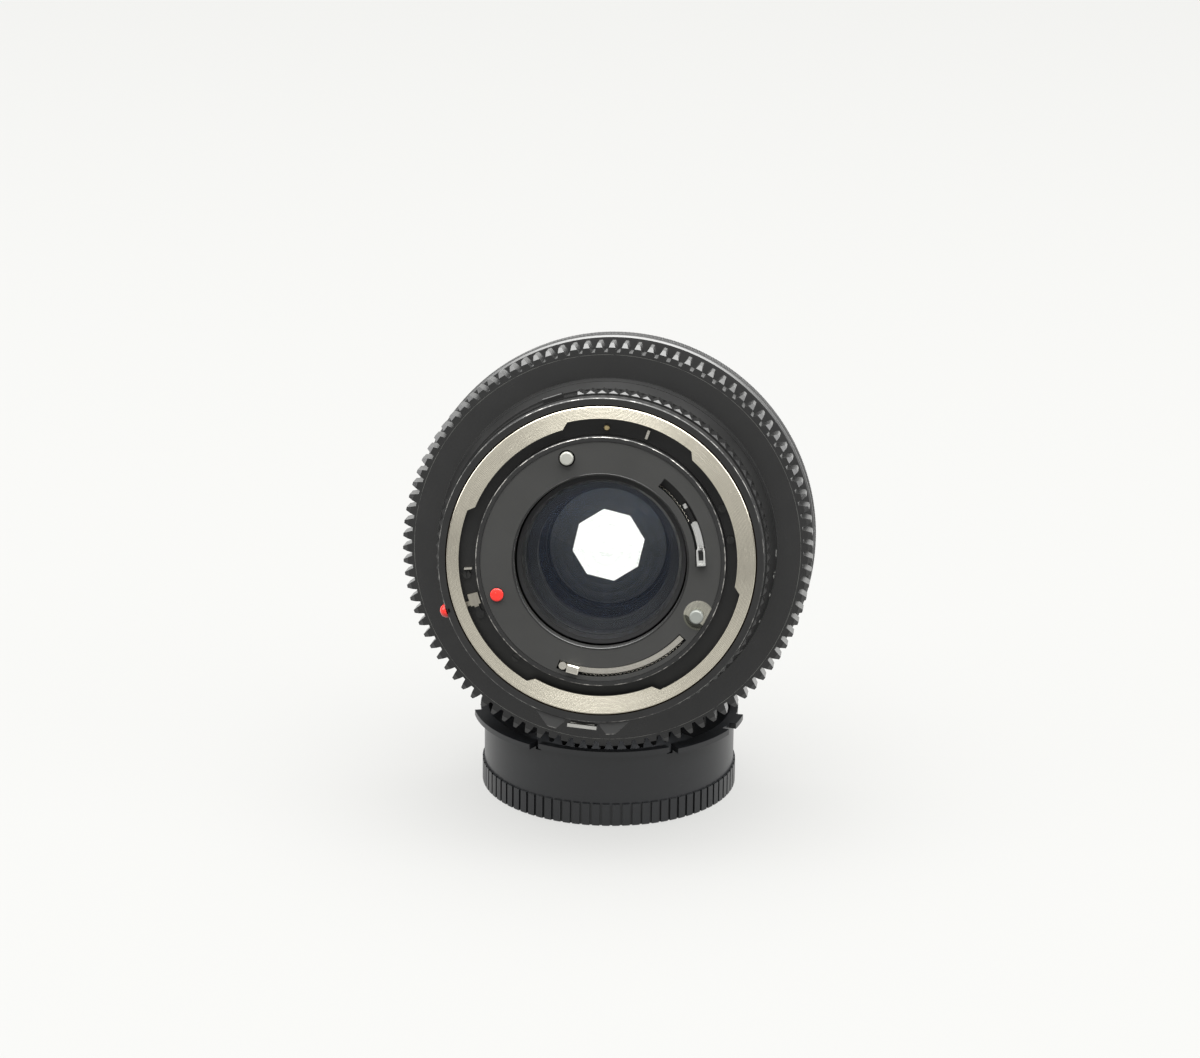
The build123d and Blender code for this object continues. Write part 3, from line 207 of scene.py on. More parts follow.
class Nodes:
    """Node tree of one material or world."""

    def __init__(self, owner: bpy.types.ID, output: str = "ShaderNodeOutputMaterial") -> None:
        """Empty the tree and add its output.

        Args:
            owner: a new material or world.
            output: type of its output node.
        """
        owner.use_nodes = True
        self.owner = owner
        self.tree = owner.node_tree
        self.tree.nodes.clear()
        self.output = self.tree.nodes.new(output)

    @classmethod
    def of_material(cls, name: str) -> "Nodes":
        """Tree of a new material."""
        return cls(bpy.data.materials.new(name))

    def plug(self, socket: bpy.types.NodeSocket, value: object) -> None:
        """Link a wire to a socket, or set the socket's value.

        Args:
            socket: the socket.
            value: a wire, a number or a colour.
        """
        if isinstance(value, Wire):
            self.tree.links.new(value.socket, socket)
        else:
            socket.default_value = value

    def add(
        self,
        kind: str,
        settings: Optional[dict] = None,
        inputs: Optional[dict] = None,
        output: Union[int, str] = 0,
    ) -> Wire:
        """Add any node.

        Args:
            kind: type of the node.
            settings: properties that are set first.
            inputs: values or wires by socket name or number.
            output: the socket that is handed back.

        Returns:
            The chosen output.
        """
        node = self.tree.nodes.new(kind)
        for name, value in (settings or {}).items():
            setattr(node, name, value)
        for name, value in (inputs or {}).items():
            self.plug(node.inputs[name], value)
        return Wire(self, node.outputs[output])

    def place(self) -> Wire:
        """Object coordinates."""
        return self.add("ShaderNodeTexCoord", output="Object")

    def vector(self, x: Value, y: Value, z: Value) -> Wire:
        """Vector from three values."""
        return self.add("ShaderNodeCombineXYZ", inputs={0: x, 1: y, 2: z})

    def ray(self, kind: str) -> Wire:
        """Mask of one kind of light ray."""
        return self.add("ShaderNodeLightPath", output=f"Is {kind} Ray")

    def along(self, direction: Vector, start: Vector) -> Wire:
        """Distance from a point along a direction.

        Args:
            direction: the direction, of length 1.
            start: the point, in metres.

        Returns:
            The distance, in millimetres.
        """
        kind = "ShaderNodeVectorMath"
        offset = self.add(kind, {"operation": "SUBTRACT"}, {0: self.place(), 1: start})
        reach = self.add(kind, {"operation": "DOT_PRODUCT"}, {0: offset, 1: direction}, "Value")
        return reach / MILLI

    def lens_place(self) -> tuple[Wire, Wire, Wire, Wire]:
        """Place in the lens's frame.

        Returns:
            Places sideways and upwards, radius and station, in millimetres.
        """
        x = self.along(LENS.right, LENS.centre)
        y = self.along(LENS.upward, LENS.centre)
        station = self.along(-LENS.rearward, LENS.centre)
        radius = (x * x + y * y).math("SQRT")
        return x, y, radius, station

    def lens_angle(self) -> Wire:
        """Angle round the lens, from -180 to 180 degrees."""
        x, y, _, _ = self.lens_place()
        return y.math("ARCTAN2", x) * math.degrees(1.0)

    def turning(self, across: float, along: float) -> Wire:
        """Streaks left by a lathe round the lens axis.

        Args:
            across: streaks a millimetre across the cut.
            along: how often a streak changes on its way round.

        Returns:
            Noise from 0 to 1.
        """
        slant = 1.37
        x, y, radius, station = self.lens_place()
        way = self.vector(x / radius * along, y / radius * along, (radius + station * slant) * across)
        return self.noise(way, scale=1.0, detail=3.0, rough=0.65)

    def noise(self, vector: Wire, scale: float, detail: float, rough: float) -> Wire:
        """Noise from 0 to 1 on a vector."""
        inputs = {"Vector": vector, "Scale": scale, "Detail": detail, "Roughness": rough}
        return self.add("ShaderNodeTexNoise", None, inputs)

    def grain(self, scale: float, detail: float = 3.0, rough: float = 0.6) -> Wire:
        """Noise on the object coordinates, its scale in grains a millimetre."""
        return self.noise(self.place(), scale / MILLI, detail, rough)

    def blend(self, factor: Value, first: object, second: object) -> Wire:
        """Colour between two colours.

        Args:
            factor: 0 for the first colour and 1 for the second.
            first: a colour or a wire.
            second: another one.

        Returns:
            The colour.
        """
        rgba = [c if isinstance(c, Wire) else (*c, 1.0) for c in (first, second)]
        inputs = {0: factor, MIX_FIRST: rgba[0], MIX_SECOND: rgba[1]}
        return self.add("ShaderNodeMix", {"data_type": "RGBA"}, inputs, MIX_RESULT)

    def bump(self, height: Wire, depth: float, normal: Optional[Wire] = None) -> Wire:
        """Normal of an uneven surface.

        Args:
            height: the surface's height, from 0 to 1.
            depth: its full range, in millimetres.
            normal: the normal that it starts from.

        Returns:
            The normal.
        """
        inputs = {"Height": height, "Distance": depth * MILLI, "Strength": 1.0}
        if normal is not None:
            inputs["Normal"] = normal
        return self.add("ShaderNodeBump", None, inputs)

    def shade(self, shader: Wire) -> bpy.types.ID:
        """Link a shader to the output, and hand back the material or world."""
        self.plug(self.output.inputs["Surface"], shader)
        return self.owner

    def surface(self, **inputs: object) -> bpy.types.Material:
        """Finish the material with a Principled shader, whose sockets are given by name."""
        return self.shade(self.principled(**inputs))

    def principled(self, **inputs: object) -> Wire:
        """Principled shader.

        Args:
            inputs: sockets by name, with underscores for spaces.

        Returns:
            The shader.
        """
        named = {}
        for name, value in inputs.items():
            named[name.replace("_", " ")] = (*value, 1.0) if isinstance(value, tuple) else value
        return self.add("ShaderNodeBsdfPrincipled", None, named)


@dataclass(frozen=True)
class Finish:
    """A finish of the object.

    Attributes:
        slot: the record's material slot.
        colour: base colour, linear.
        roughness: mean roughness.
    """

    slot: str
    colour: Colour
    roughness: float

    def make(self) -> bpy.types.Material:
        """Build the material."""
        raise NotImplementedError

    def lighter(self, share: float) -> Colour:
        """The colour times a factor."""
        return tuple(min(1.0, c * share) for c in self.colour)

    def varied(self, nodes: Nodes, mask: Wire, tones: tuple[float, float]) -> Wire:
        """The colour, which a mask varies between two shares of it."""
        return nodes.blend(mask, *(self.lighter(share) for share in tones))


@dataclass(frozen=True)
class Moulded(Finish):
    """Moulded plastic with a faint grain, cloudy shine and fine scratches.

    Attributes:
        grain_depth: depth of the grain.
        grain_scale: grains a millimetre.
        grain_shine: how much the roughness varies with the grain.
        cloud_scale: clouds a millimetre.
        cloud_shine: how much the roughness varies with the clouds.
        scratches: how strong the scratches are.
        scratch_scale: scratches a millimetre.
        scratch_length: how many times longer than thick they are.
        scratch_span: values of the noise between which a scratch sets in.
        scratch_tone: share of the colour that they show.
        scratch_cover: how much a scratch hides of the colour.
        index: refractive index, higher where the skin shines more.
        tones: shares of the colour between which it varies.
    """

    grain_depth: float = 0.006
    grain_scale: float = 6.0
    grain_shine: float = 0.1
    cloud_scale: float = 0.12
    cloud_shine: float = 0.16
    scratches: float = 0.25
    scratch_scale: float = 0.35
    scratch_length: float = 14.0
    scratch_span: tuple[float, float] = (0.62, 0.72)
    scratch_tone: float = 4.0
    scratch_cover: float = 0.35
    index: float = 1.5
    tones: tuple[float, float] = (0.82, 1.22)

    def make(self) -> bpy.types.Material:
        """Build the material.

        Returns:
            The material.
        """
        nodes = Nodes.of_material(self.slot)
        cloud = nodes.grain(self.cloud_scale, detail=4.0)
        fine = nodes.grain(self.grain_scale)
        stretch = {"Vector": nodes.place(), "Scale": (1.0, 1.0, self.scratch_length)}
        stretched = nodes.add("ShaderNodeMapping", {"vector_type": "POINT"}, stretch)
        lines = nodes.noise(stretched, self.scratch_scale / MILLI, detail=4.0, rough=0.75)
        scratch = lines.rise(*self.scratch_span) * self.scratches
        colour = self.varied(nodes, cloud, self.tones)
        worn = nodes.blend(scratch * self.scratch_cover, colour, self.lighter(self.scratch_tone))
        roughness = cloud.swing(self.cloud_shine) + fine.swing(self.grain_shine) + self.roughness
        return nodes.surface(
            Base_Color=worn, Roughness=roughness, Normal=nodes.bump(fine, self.grain_depth), IOR=self.index
        )


@dataclass(frozen=True)
class Enamel(Finish):
    """Black paint or anodising on a turned metal ring, rubbed bright at chosen edges.

    Attributes:
        edges: (radius, station, reach) of circles round the lens where the metal shows.
        wear: how much of an edge is rubbed.
        turned: depth of the turning marks.
        turned_share: share of that depth that the marks take, where a fine grain takes the rest.
        turned_shine: how much the roughness varies with the marks.
        cloud_scale: clouds a millimetre.
        cloud_shine: how much the roughness varies with the clouds.
        fine_scale: grains a millimetre.
        index: refractive index, higher where the skin shines more.
        metal: colour of the rubbed edges.
        metal_roughness: their roughness.
        patch_scale: patches a millimetre along a rubbed edge.
        rub_span: values between which the metal comes through.
        grey_from: radius round the lens beyond which the skin is a lighter grey.
        grey_to: station at which that grey ends.
        grey_tone: share of the colour that it shows.
        tones: shares of the colour between which it varies.
    """

    edges: tuple[tuple[float, float, float], ...] = ()
    wear: float = 0.5
    turned: float = 0.002
    turned_share: float = 0.6
    turned_shine: float = 0.1
    cloud_scale: float = 0.15
    cloud_shine: float = 0.14
    fine_scale: float = 5.0
    index: float = 1.5
    metal: Colour = (0.55, 0.53, 0.5)
    metal_roughness: float = 0.35
    patch_scale: float = 0.45
    rub_span: tuple[float, float] = (0.72, 0.95)
    grey_from: float = 0.0
    grey_to: float = 5.5
    grey_tone: float = 3.5
    tones: tuple[float, float] = (0.8, 1.25)

    def make(self) -> bpy.types.Material:
        """Build the material.

        Returns:
            The material.
        """
        nodes = Nodes.of_material(self.slot)
        cloud = nodes.grain(self.cloud_scale)
        fine = nodes.grain(self.fine_scale, detail=2.0)
        lathe = nodes.turning(across=9.0, along=6.0)
        colour = self.varied(nodes, cloud, self.tones)
        roughness = cloud.swing(self.cloud_shine) + lathe.swing(self.turned_shine) + self.roughness
        if self.grey_from:
            colour = nodes.blend(self._grey(nodes, fine), colour, self.lighter(self.grey_tone))
        metallic: Value = 0.0
        if self.edges:
            patches = nodes.grain(self.patch_scale, detail=4.0, rough=0.7)
            metallic = (self._bare(nodes) * (patches + self.wear)).rise(*self.rub_span)
            colour = nodes.blend(metallic, colour, self.metal)
            roughness = roughness * (1.0 - metallic) + metallic * self.metal_roughness
        height = lathe * self.turned_share + fine * (1.0 - self.turned_share)
        normal = nodes.bump(height, self.turned)
        return nodes.surface(
            Base_Color=colour, Roughness=roughness, Metallic=metallic, Normal=normal, IOR=self.index
        )

    def _grey(self, nodes: Nodes, fine: Wire) -> Wire:
        """Mask of the lighter grey.

        Args:
            nodes: the material's tree.
            fine: grain that breaks the grey up.

        Returns:
            The mask.
        """
        soft_out, soft_ahead = 0.1, 0.3
        least, spread = 0.75, 0.5
        _, _, radius, station = nodes.lens_place()
        rear = 1.0 - station.rise(self.grey_to - soft_ahead, self.grey_to)
        return radius.rise(self.grey_from, self.grey_from + soft_out) * rear * (fine * spread + least)

    def _bare(self, nodes: Nodes) -> Wire:
        """Nearness to the rubbed edges.

        Args:
            nodes: the material's tree.

        Returns:
            0 away from the edges, and 1 on them.
        """
        _, _, radius, station = nodes.lens_place()
        bare: Value = 0.0
        for edge_radius, edge_station, reach in self.edges:
            away_r, away_s = radius - edge_radius, station - edge_station
            near = 1.0 - (away_r * away_r + away_s * away_s).math("SQRT").rise(0.0, reach)
            bare = near.math("MAXIMUM", bare)
        return bare


@dataclass(frozen=True)
class BareMetal(Finish):
    """Bare metal with fine turning or stamping marks, a cloudy patina and patches of painted shade.

    Attributes:
        turned: depth of the streaks.
        turned_shine: how much the roughness varies with the streaks.
        patina: how much the tone varies.
        streaks: streaks a millimetre.
        cloud_scale: clouds of the patina a millimetre.
        cloud_shine: how much the roughness varies with the clouds.
        spot_scale: spots a millimetre.
        spot_span: values of the noise between which a spot sets in.
        spot_tone: share of the colour that the spots show.
        spot_cover: how much a spot hides of the colour.
        spot_shine: how much rougher a spot is.
        groove: depth of the even grooves of a faced ring.
        groove_pitch: from groove to groove.
        bronze_from: radius round the lens beyond which the rim is bronze.
        bronze: colour of that rim.
        patches: (first angle, last angle, inner radius, outer radius) of painted shade on parts that lie in
            shadow.
        painted_shade: dark colour of that painted shade.
    """

    turned: float = 0.003
    turned_shine: float = 0.3
    patina: float = 0.25
    streaks: float = 7.0
    cloud_scale: float = 0.18
    cloud_shine: float = 0.1
    spot_scale: float = 1.6
    spot_span: tuple[float, float] = (0.6, 0.75)
    spot_tone: float = 0.6
    spot_cover: float = 0.3
    spot_shine: float = 0.1
    groove: float = 0.0
    groove_pitch: float = 0.25
    bronze_from: float = 0.0
    bronze: Colour = (0.3, 0.2, 0.11)
    patches: tuple[tuple[float, float, float, float], ...] = ()
    painted_shade: Colour = (0.01, 0.01, 0.01)

    def make(self) -> bpy.types.Material:
        """Build the material.

        Returns:
            The material.
        """
        nodes = Nodes.of_material(self.slot)
        lathe = nodes.turning(self.streaks, along=5.0)
        cloud = nodes.grain(self.cloud_scale, detail=4.0, rough=0.65)
        spots = nodes.grain(self.spot_scale, rough=0.7).rise(*self.spot_span)
        colour = self.varied(nodes, cloud * 0.5 + lathe * 0.5, (1.0 - self.patina, 1.0 + self.patina / 2))
        colour = nodes.blend(spots * self.spot_cover, colour, self.lighter(self.spot_tone))
        roughness = lathe.swing(self.turned_shine) + spots * self.spot_shine
        roughness = roughness + cloud.swing(self.cloud_shine) + self.roughness
        _, _, radius, _ = nodes.lens_place()
        if self.bronze_from:
            soft = 0.12
            colour = nodes.blend(radius.rise(self.bronze_from, self.bronze_from + soft), colour, self.bronze)
        normal = nodes.bump(lathe, self.turned)
        if self.groove:
            wave = (radius * (2.0 * math.pi / self.groove_pitch)).math("SINE") * 0.5 + 0.5
            normal = nodes.bump(wave, self.groove, normal)
        metallic: Value = 1.0
        if self.patches:
            # Painted shade: the patches turn dark and lose their shine, standing in for shadow on parts that lie
            # in shade.
            painted_shade = self._painted_shade_mask(nodes, radius)
            colour = nodes.blend(painted_shade, colour, self.painted_shade)
            metallic = 1.0 - painted_shade
        return nodes.surface(Base_Color=colour, Roughness=roughness, Metallic=metallic, Normal=normal)

    def _painted_shade_mask(self, nodes: Nodes, radius: Wire) -> Wire:
        """Mask of the patches of painted shade.

        Args:
            nodes: the material's tree.
            radius: distance from the lens axis.

        Returns:
            The mask.
        """
        soft_deg, soft = 0.3, 0.05
        angle = nodes.lens_angle()
        painted_shade: Value = 0.0
        for first, last, inner, outer in self.patches:
            patch = angle.between(first, last, soft_deg) * radius.between(inner, outer, soft)
            painted_shade = patch.math("MAXIMUM", painted_shade)
        return painted_shade


@dataclass(frozen=True)
class Paint(Finish):
    """Glossy paint with faint ripples and dust, and, where asked, painted shade below a radius round the lens.

    Attributes:
        painted_shade_below: radius round the lens up to which painted shade covers the paint.
        painted_shade: dark colour of that painted shade.
        ripple_scale: ripples a millimetre.
        ripple_depth: depth of the ripples.
        dust: colour of the dust.
        dust_scale: grains of dust a millimetre.
        dust_span: values of the noise between which a grain sets in.
        dust_cover: how much the dust hides of the colour, and how much rougher it is.
        tones: shares of the colour between which it varies.
    """

    painted_shade_below: float = 0.0
    painted_shade: Colour = (0.009, 0.009, 0.009)
    ripple_scale: float = 0.8
    ripple_depth: float = 0.01
    dust: Colour = (0.6, 0.55, 0.5)
    dust_scale: float = 4.0
    dust_span: tuple[float, float] = (0.66, 0.74)
    dust_cover: float = 0.3
    tones: tuple[float, float] = (0.9, 1.1)

    def make(self) -> bpy.types.Material:
        """Build the material.

        Returns:
            The material.
        """
        nodes = Nodes.of_material(self.slot)
        ripples = nodes.grain(self.ripple_scale)
        dust = nodes.grain(self.dust_scale, detail=2.0).rise(*self.dust_span) * self.dust_cover
        colour = nodes.blend(dust, self.varied(nodes, ripples, self.tones), self.dust)
        # Painted shade: inside the radius the paint turns dark, standing in for the shade where the dot sits in
        # its hole.
        if self.painted_shade_below:
            soft = 0.04
            _, _, radius, _ = nodes.lens_place()
            painted = radius.rise(self.painted_shade_below, self.painted_shade_below + soft)
            colour = nodes.blend(painted, self.painted_shade, colour)
        normal = nodes.bump(ripples, self.ripple_depth)
        return nodes.surface(Base_Color=colour, Roughness=dust + self.roughness, Normal=normal)


class Passage(Enum):
    """How light goes through a glass element."""

    OPEN = "see-through faces"
    BODY = "a body of index 1"


@dataclass(frozen=True)
class CoatedGlass(Finish):
    """Optical glass that is seen through straight, with a tinted coating.

    Attributes:
        strength: share of the light that a face mirrors head-on.
        edge: how much more it mirrors at a glancing angle.
        glance: how soon an angle counts as glancing.
        smear_scale: smears a millimetre.
        smear_shine: how much rougher a smear is.
        clear: share of each colour that goes through.
        passage: how light goes through it.
    """

    strength: float = 0.011
    edge: float = 0.05
    glance: float = 0.2
    smear_scale: float = 0.08
    smear_shine: float = 0.02
    clear: Colour = (0.99, 0.995, 0.99)
    passage: Passage = Passage.OPEN

    def make(self) -> bpy.types.Material:
        """Build the material.

        Returns:
            The material.
        """
        nodes = Nodes.of_material(f"{self.slot}_{self.passage.name.lower()}")
        facing = nodes.add("ShaderNodeLayerWeight", None, {"Blend": self.glance}, "Fresnel")
        if self.passage is Passage.OPEN:
            clear = nodes.add("ShaderNodeBsdfTransparent", None, {"Color": (*self.clear, 1.0)})
        else:
            clear = nodes.principled(
                Base_Color=(1.0, 1.0, 1.0), Roughness=0.0, IOR=1.0, Transmission_Weight=1.0
            )
        roughness = nodes.grain(self.smear_scale) * self.smear_shine + self.roughness
        mirror = nodes.principled(Base_Color=self.colour, Metallic=1.0, Roughness=roughness)
        mirrored = facing * self.edge + self.strength
        return nodes.shade(nodes.add("ShaderNodeMixShader", None, {0: mirrored, 1: clear, 2: mirror}))


RED: Colour = (0.88, 0.03, 0.022)
FINISHES: tuple[Finish, ...] = (
    Moulded("cap_plastic", (0.017, 0.018, 0.02), 0.33, grain_depth=0.004, scratches=0.8),
    Enamel("black_alloy", (0.008, 0.008, 0.008), 0.42, edges=((23.8, -1.4, 0.35),), wear=0.34),
    Enamel(
        "black_enamel", (0.009, 0.009, 0.009), 0.38, edges=((31.14, 0.21, 0.34), (33.55, 0.6, 0.3)), wear=0.3,
        metal=(0.42, 0.41, 0.39), grey_from=31.35
    ),
    BareMetal("bright_mount", (0.66, 0.62, 0.52), 0.22, patina=0.1, groove=0.032, bronze_from=29.55),
    Paint("red_enamel", RED, 0.22),
    Enamel("blackened_steel", (0.012, 0.012, 0.011), 0.45, index=1.55),
    BareMetal("brass", (0.62, 0.5, 0.27), 0.35),
    BareMetal("steel", (0.72, 0.69, 0.62), 0.3),
    BareMetal("spring_steel", (0.55, 0.52, 0.45), 0.3),
    Moulded("plate_plastic", (0.022, 0.022, 0.021), 0.55, scratches=0.3),
    Moulded("grey_plastic", (0.2, 0.21, 0.195), 0.4, scratches=0.1),
    BareMetal("chrome", (0.85, 0.84, 0.8), 0.2, patina=0.08),
    Enamel("button_black", (0.006, 0.006, 0.006), 0.3),
    Moulded("ring_plastic", (0.008, 0.008, 0.008), 0.24, grain_depth=0.004, index=1.6),
    Moulded("grip_rubber", (0.012, 0.012, 0.012), 0.6, grain_depth=0.01),
    Enamel(
        "gear_alloy", (0.007, 0.007, 0.007), 0.24, edges=((37.7, 21.3, 0.16),), wear=0.45, index=1.7,
        metal=(0.2, 0.2, 0.19)
    ),
    Enamel("front_ring_alloy", (0.012, 0.012, 0.012), 0.38, index=1.9),
    Enamel("matt_black", (0.008, 0.008, 0.009), 0.65),
    CoatedGlass("coated_glass", (0.58, 0.64, 0.86), 0.015),
    Enamel("blade_steel", (0.03, 0.03, 0.032), 0.45, turned=0.001, index=2.0),
)
INNER_GLASS = CoatedGlass(
    "coated_glass", (0.3, 0.43, 0.82), 0.015, strength=0.002, edge=0.02, passage=Passage.BODY
)
# The collar's dot is red, with painted shade on the part that sits in its hole.
COLLAR_RED_AND_PAINTED_SHADE = Paint("dome_red_and_painted_shade", RED, 0.22, painted_shade_below=31.22)
DIAL_GREY = Paint("dial_grey", (0.22, 0.22, 0.21), 0.6)
# The dark patches of cup_steel, head_steel, bar_chrome and strip_steel are painted shade on parts of the pin cup,
# lock lever, release button and signal lever that lie in shadow.
NODE_FINISHES: dict[str, Finish] = {
    "signal_pin": Moulded("bright_plastic", (0.32, 0.32, 0.29), 0.3, scratches=0.5),
    "reserved_pin_cup": BareMetal(
        "cup_steel", (0.72, 0.7, 0.6), 0.2, turned=0.03, patina=0.6, streaks=3.0,
        patches=((-42.0, -30.5, 17.0, 24.5),), painted_shade=(0.07, 0.07, 0.055)
    ),
    "lock_lever": BareMetal("head_steel", (0.5, 0.47, 0.4), 0.34, patches=((-157.6, -150.0, 20.0, 32.0),)),
    "release_button": BareMetal("bar_chrome", (0.85, 0.84, 0.8), 0.2, patches=((-110.0, -80.0, 20.0, 32.1),)),
    "signal_lever": BareMetal(
        "strip_steel", (0.85, 0.85, 0.83), 0.3, patches=((2.4, 9.0, 18.75, 19.72), (24.3, 33.4, 17.0, 21.0))
    ),
}
INNER_ELEMENTS = ("second_element", "third_element", "doublet_front_element", "doublet_rear_element")


@dataclass
class Studio:
    """Pale floor, soft lamps and the camera at the photograph's viewing angle.

    Attributes:
        image_width_px: width of the photograph.
        focal_px: from the eye to the picture, in the photograph's pixels.
        sensor_mm: width of the camera's sensor.
        pitch_deg: how far the camera looks down.
        roll_deg: how far it leans to the right.
        turn_deg: how far it looks to the left.
        clip_m: nearest and farthest distance that it sees.
        flange_seen_mm: place of the flange's centre to the right, below and ahead of the camera.
        floor_reach_m: from the middle of the floor to its edge.
        floor_drop_m: how far the floor lies below the object.
        floor_colour: its colour under the lamps.
        floor_glow: its own light for the camera and in mirrors.
        floor_glow_through: its own light through glass.
        floor_tint: colour of its own light.
        floor_fade: how much darker its far part is.
        fade_span_m: where it begins to darken, and where it is darkest.
        level_light: light from the sides.
        ceiling_light: light from above.
        ceiling_from: height, from 0 to 1, at which the ceiling begins.
        ceiling_full: height from which it is full.
        sky_tint: colour of the light from all round.
        backdrop: colour behind the floor.
        softbox_side_m: side of a softbox.
        softboxes: (name, place in metres, brightness, where 1 shows as white) of each softbox.
    """

    image_width_px: float = 1200.0
    focal_px: float = 5175.0
    sensor_mm: float = 36.0
    pitch_deg: float = 20.07
    roll_deg: float = -0.58
    turn_deg: float = 3.44
    clip_m: tuple[float, float] = (0.05, 20.0)
    flange_seen_mm: tuple[float, float, float] = (0.139, 6.08, 987.0)
    floor_reach_m: float = 2.5
    floor_drop_m: float = 0.0002
    floor_colour: Colour = (0.077, 0.077, 0.0763)
    floor_glow: float = 0.645
    floor_glow_through: float = 0.97
    floor_tint: Colour = (1.0, 1.0, 0.98)
    floor_fade: float = 0.16
    fade_span_m: tuple[float, float] = (0.1, 1.2)
    level_light: float = 0.46
    ceiling_light: float = 10.0
    ceiling_from: float = 0.6
    ceiling_full: float = 1.0
    sky_tint: Colour = (1.0, 1.0, 0.985)
    backdrop: Colour = (0.9, 0.905, 0.88)
    softbox_side_m: float = 0.45
    softboxes: tuple[tuple[str, tuple[float, float, float], float], ...] = (
        ("softbox_left", (-0.8, -0.3, 0.5), 4.2),
        ("softbox_right", (0.8, -0.3, 0.55), 4.6),
    )

    def camera(self) -> None:
        """Add the camera, placed so that the flange's centre is seen where the photograph shows it."""
        pitch, roll, turn = (math.radians(a) for a in (self.pitch_deg, self.roll_deg, self.turn_deg))
        ahead = Vector((0.0, math.cos(pitch), -math.sin(pitch)))
        level = Vector((1.0, 0.0, 0.0))
        below = ahead.cross(level)
        right = math.cos(roll) * level + math.sin(roll) * below
        down = math.cos(roll) * below - math.sin(roll) * level
        spin = Matrix.Rotation(turn, 3, "Z")
        ahead, right, down = spin @ ahead, spin @ right, spin @ down
        seen = Vector(self.flange_seen_mm) * MILLI
        place = LENS.centre - right * seen.x - down * seen.y - ahead * seen.z
        data = bpy.data.cameras.new("camera")
        data.sensor_width = self.sensor_mm
        data.lens = self.focal_px / self.image_width_px * self.sensor_mm
        data.clip_start, data.clip_end = self.clip_m
        camera = bpy.data.objects.new("camera", data)
        turned = Matrix((right, -down, -ahead)).transposed().to_4x4()
        camera.matrix_world = Matrix.Translation(place) @ turned
        bpy.context.scene.collection.objects.link(camera)
        bpy.context.scene.camera = camera

    def floor(self) -> None:
        """Add the pale floor, which keeps the object's shadow."""
        bpy.ops.mesh.primitive_plane_add(size=2 * self.floor_reach_m, location=(0, 0, -self.floor_drop_m))
        plane = bpy.context.object
        plane.name = "floor"
        nodes = Nodes.of_material("pale_floor")
        camera, glossy, through = (nodes.ray(kind) for kind in ("Camera", "Glossy", "Transmission"))
        y = nodes.add("ShaderNodeSeparateXYZ", None, {0: nodes.place()}, "Y")
        fade = 1.0 - y.rise(*self.fade_span_m) * self.floor_fade
        strength = camera.math("MAXIMUM", glossy) * self.floor_glow * fade + through * self.floor_glow_through
        diffuse = nodes.add("ShaderNodeBsdfDiffuse", None, {"Color": (*self.floor_colour, 1.0)})
        light = {"Color": (*self.floor_tint, 1.0), "Strength": strength}
        glow = nodes.add("ShaderNodeEmission", None, light)
        both = nodes.add("ShaderNodeAddShader", None, {0: diffuse, 1: glow})
        plane.data.materials.append(nodes.shade(both))

    def world(self) -> None:
        """Set the light from all round: a bright ceiling that fades to the sides, and a pale backdrop."""
        nodes = Nodes(bpy.data.worlds.new("studio"), "ShaderNodeOutputWorld")
        direction = nodes.add("ShaderNodeTexCoord", output="Generated")
        height = nodes.add("ShaderNodeSeparateXYZ", None, {0: direction}, "Z")
        limits = {"From Min": self.ceiling_from, "From Max": self.ceiling_full}
        limits |= {"To Min": self.level_light, "To Max": self.ceiling_light}
        smooth = {"interpolation_type": "SMOOTHSTEP"}
        strength = nodes.add("ShaderNodeMapRange", smooth, {"Value": height, **limits})
        sky = {"Color": (*self.sky_tint, 1.0), "Strength": strength}
        soft = nodes.add("ShaderNodeBackground", None, sky)
        pale = nodes.add("ShaderNodeBackground", None, {"Color": (*self.backdrop, 1.0)})
        seen = nodes.ray("Camera").math("MAXIMUM", nodes.ray("Transmission"))
        mix = nodes.add("ShaderNodeMixShader", None, {0: seen, 1: soft, 2: pale})
        bpy.context.scene.world = nodes.shade(mix)

    def lamp(self, name: str, place: Vector, radiance: float) -> None:
        """Add a square softbox that faces the lens.

        Args:
            name: the lamp's name.
            place: its centre, in metres.
            radiance: brightness of its face, where 1 shows as white.
        """
        data = bpy.data.lights.new(name, "AREA")
        data.shape = "SQUARE"
        side = self.softbox_side_m
        data.size = side
        data.energy = math.pi * side * side * radiance
        lamp = bpy.data.objects.new(name, data)
        aim = (LENS.centre - place).normalized()
        lamp.matrix_world = Matrix.Translation(place) @ aim.to_track_quat("-Z", "Y").to_matrix().to_4x4()
        bpy.context.scene.collection.objects.link(lamp)

    def build(self) -> None:
        """Set the scene."""
        bpy.context.scene.view_settings.view_transform = "Standard"
        self.floor()
        self.world()
        for name, place, radiance in self.softboxes:
            self.lamp(name, Vector(place), radiance)
        self.camera()
        logger.info("studio: floor, world, %d softboxes and the camera", len(self.softboxes))


class Wardrobe:
    """Gives every CAD node the finish of its slot."""

    def __init__(self) -> None:
        """Build each finish once."""
        self.materials = {finish.slot: finish.make() for finish in FINISHES}
        self.inner_glass = INNER_GLASS.make()

    def dress(self) -> None:
        """Assign the finishes."""
        for row in frame["record"]["subparts"]:
            node = frame["nodes"][row["node"]]
            material = self.materials[row["material_slot"]]
            if row["node"] in INNER_ELEMENTS:
                material = self.inner_glass
            if row["node"] in NODE_FINISHES:
                material = NODE_FINISHES[row["node"]].make()
            if not node.data.materials:
                node.data.materials.append(material)
            for place in range(len(node.data.materials)):
                node.data.materials[place] = material
        logger.info("dressed %d nodes", len(frame["nodes"]))


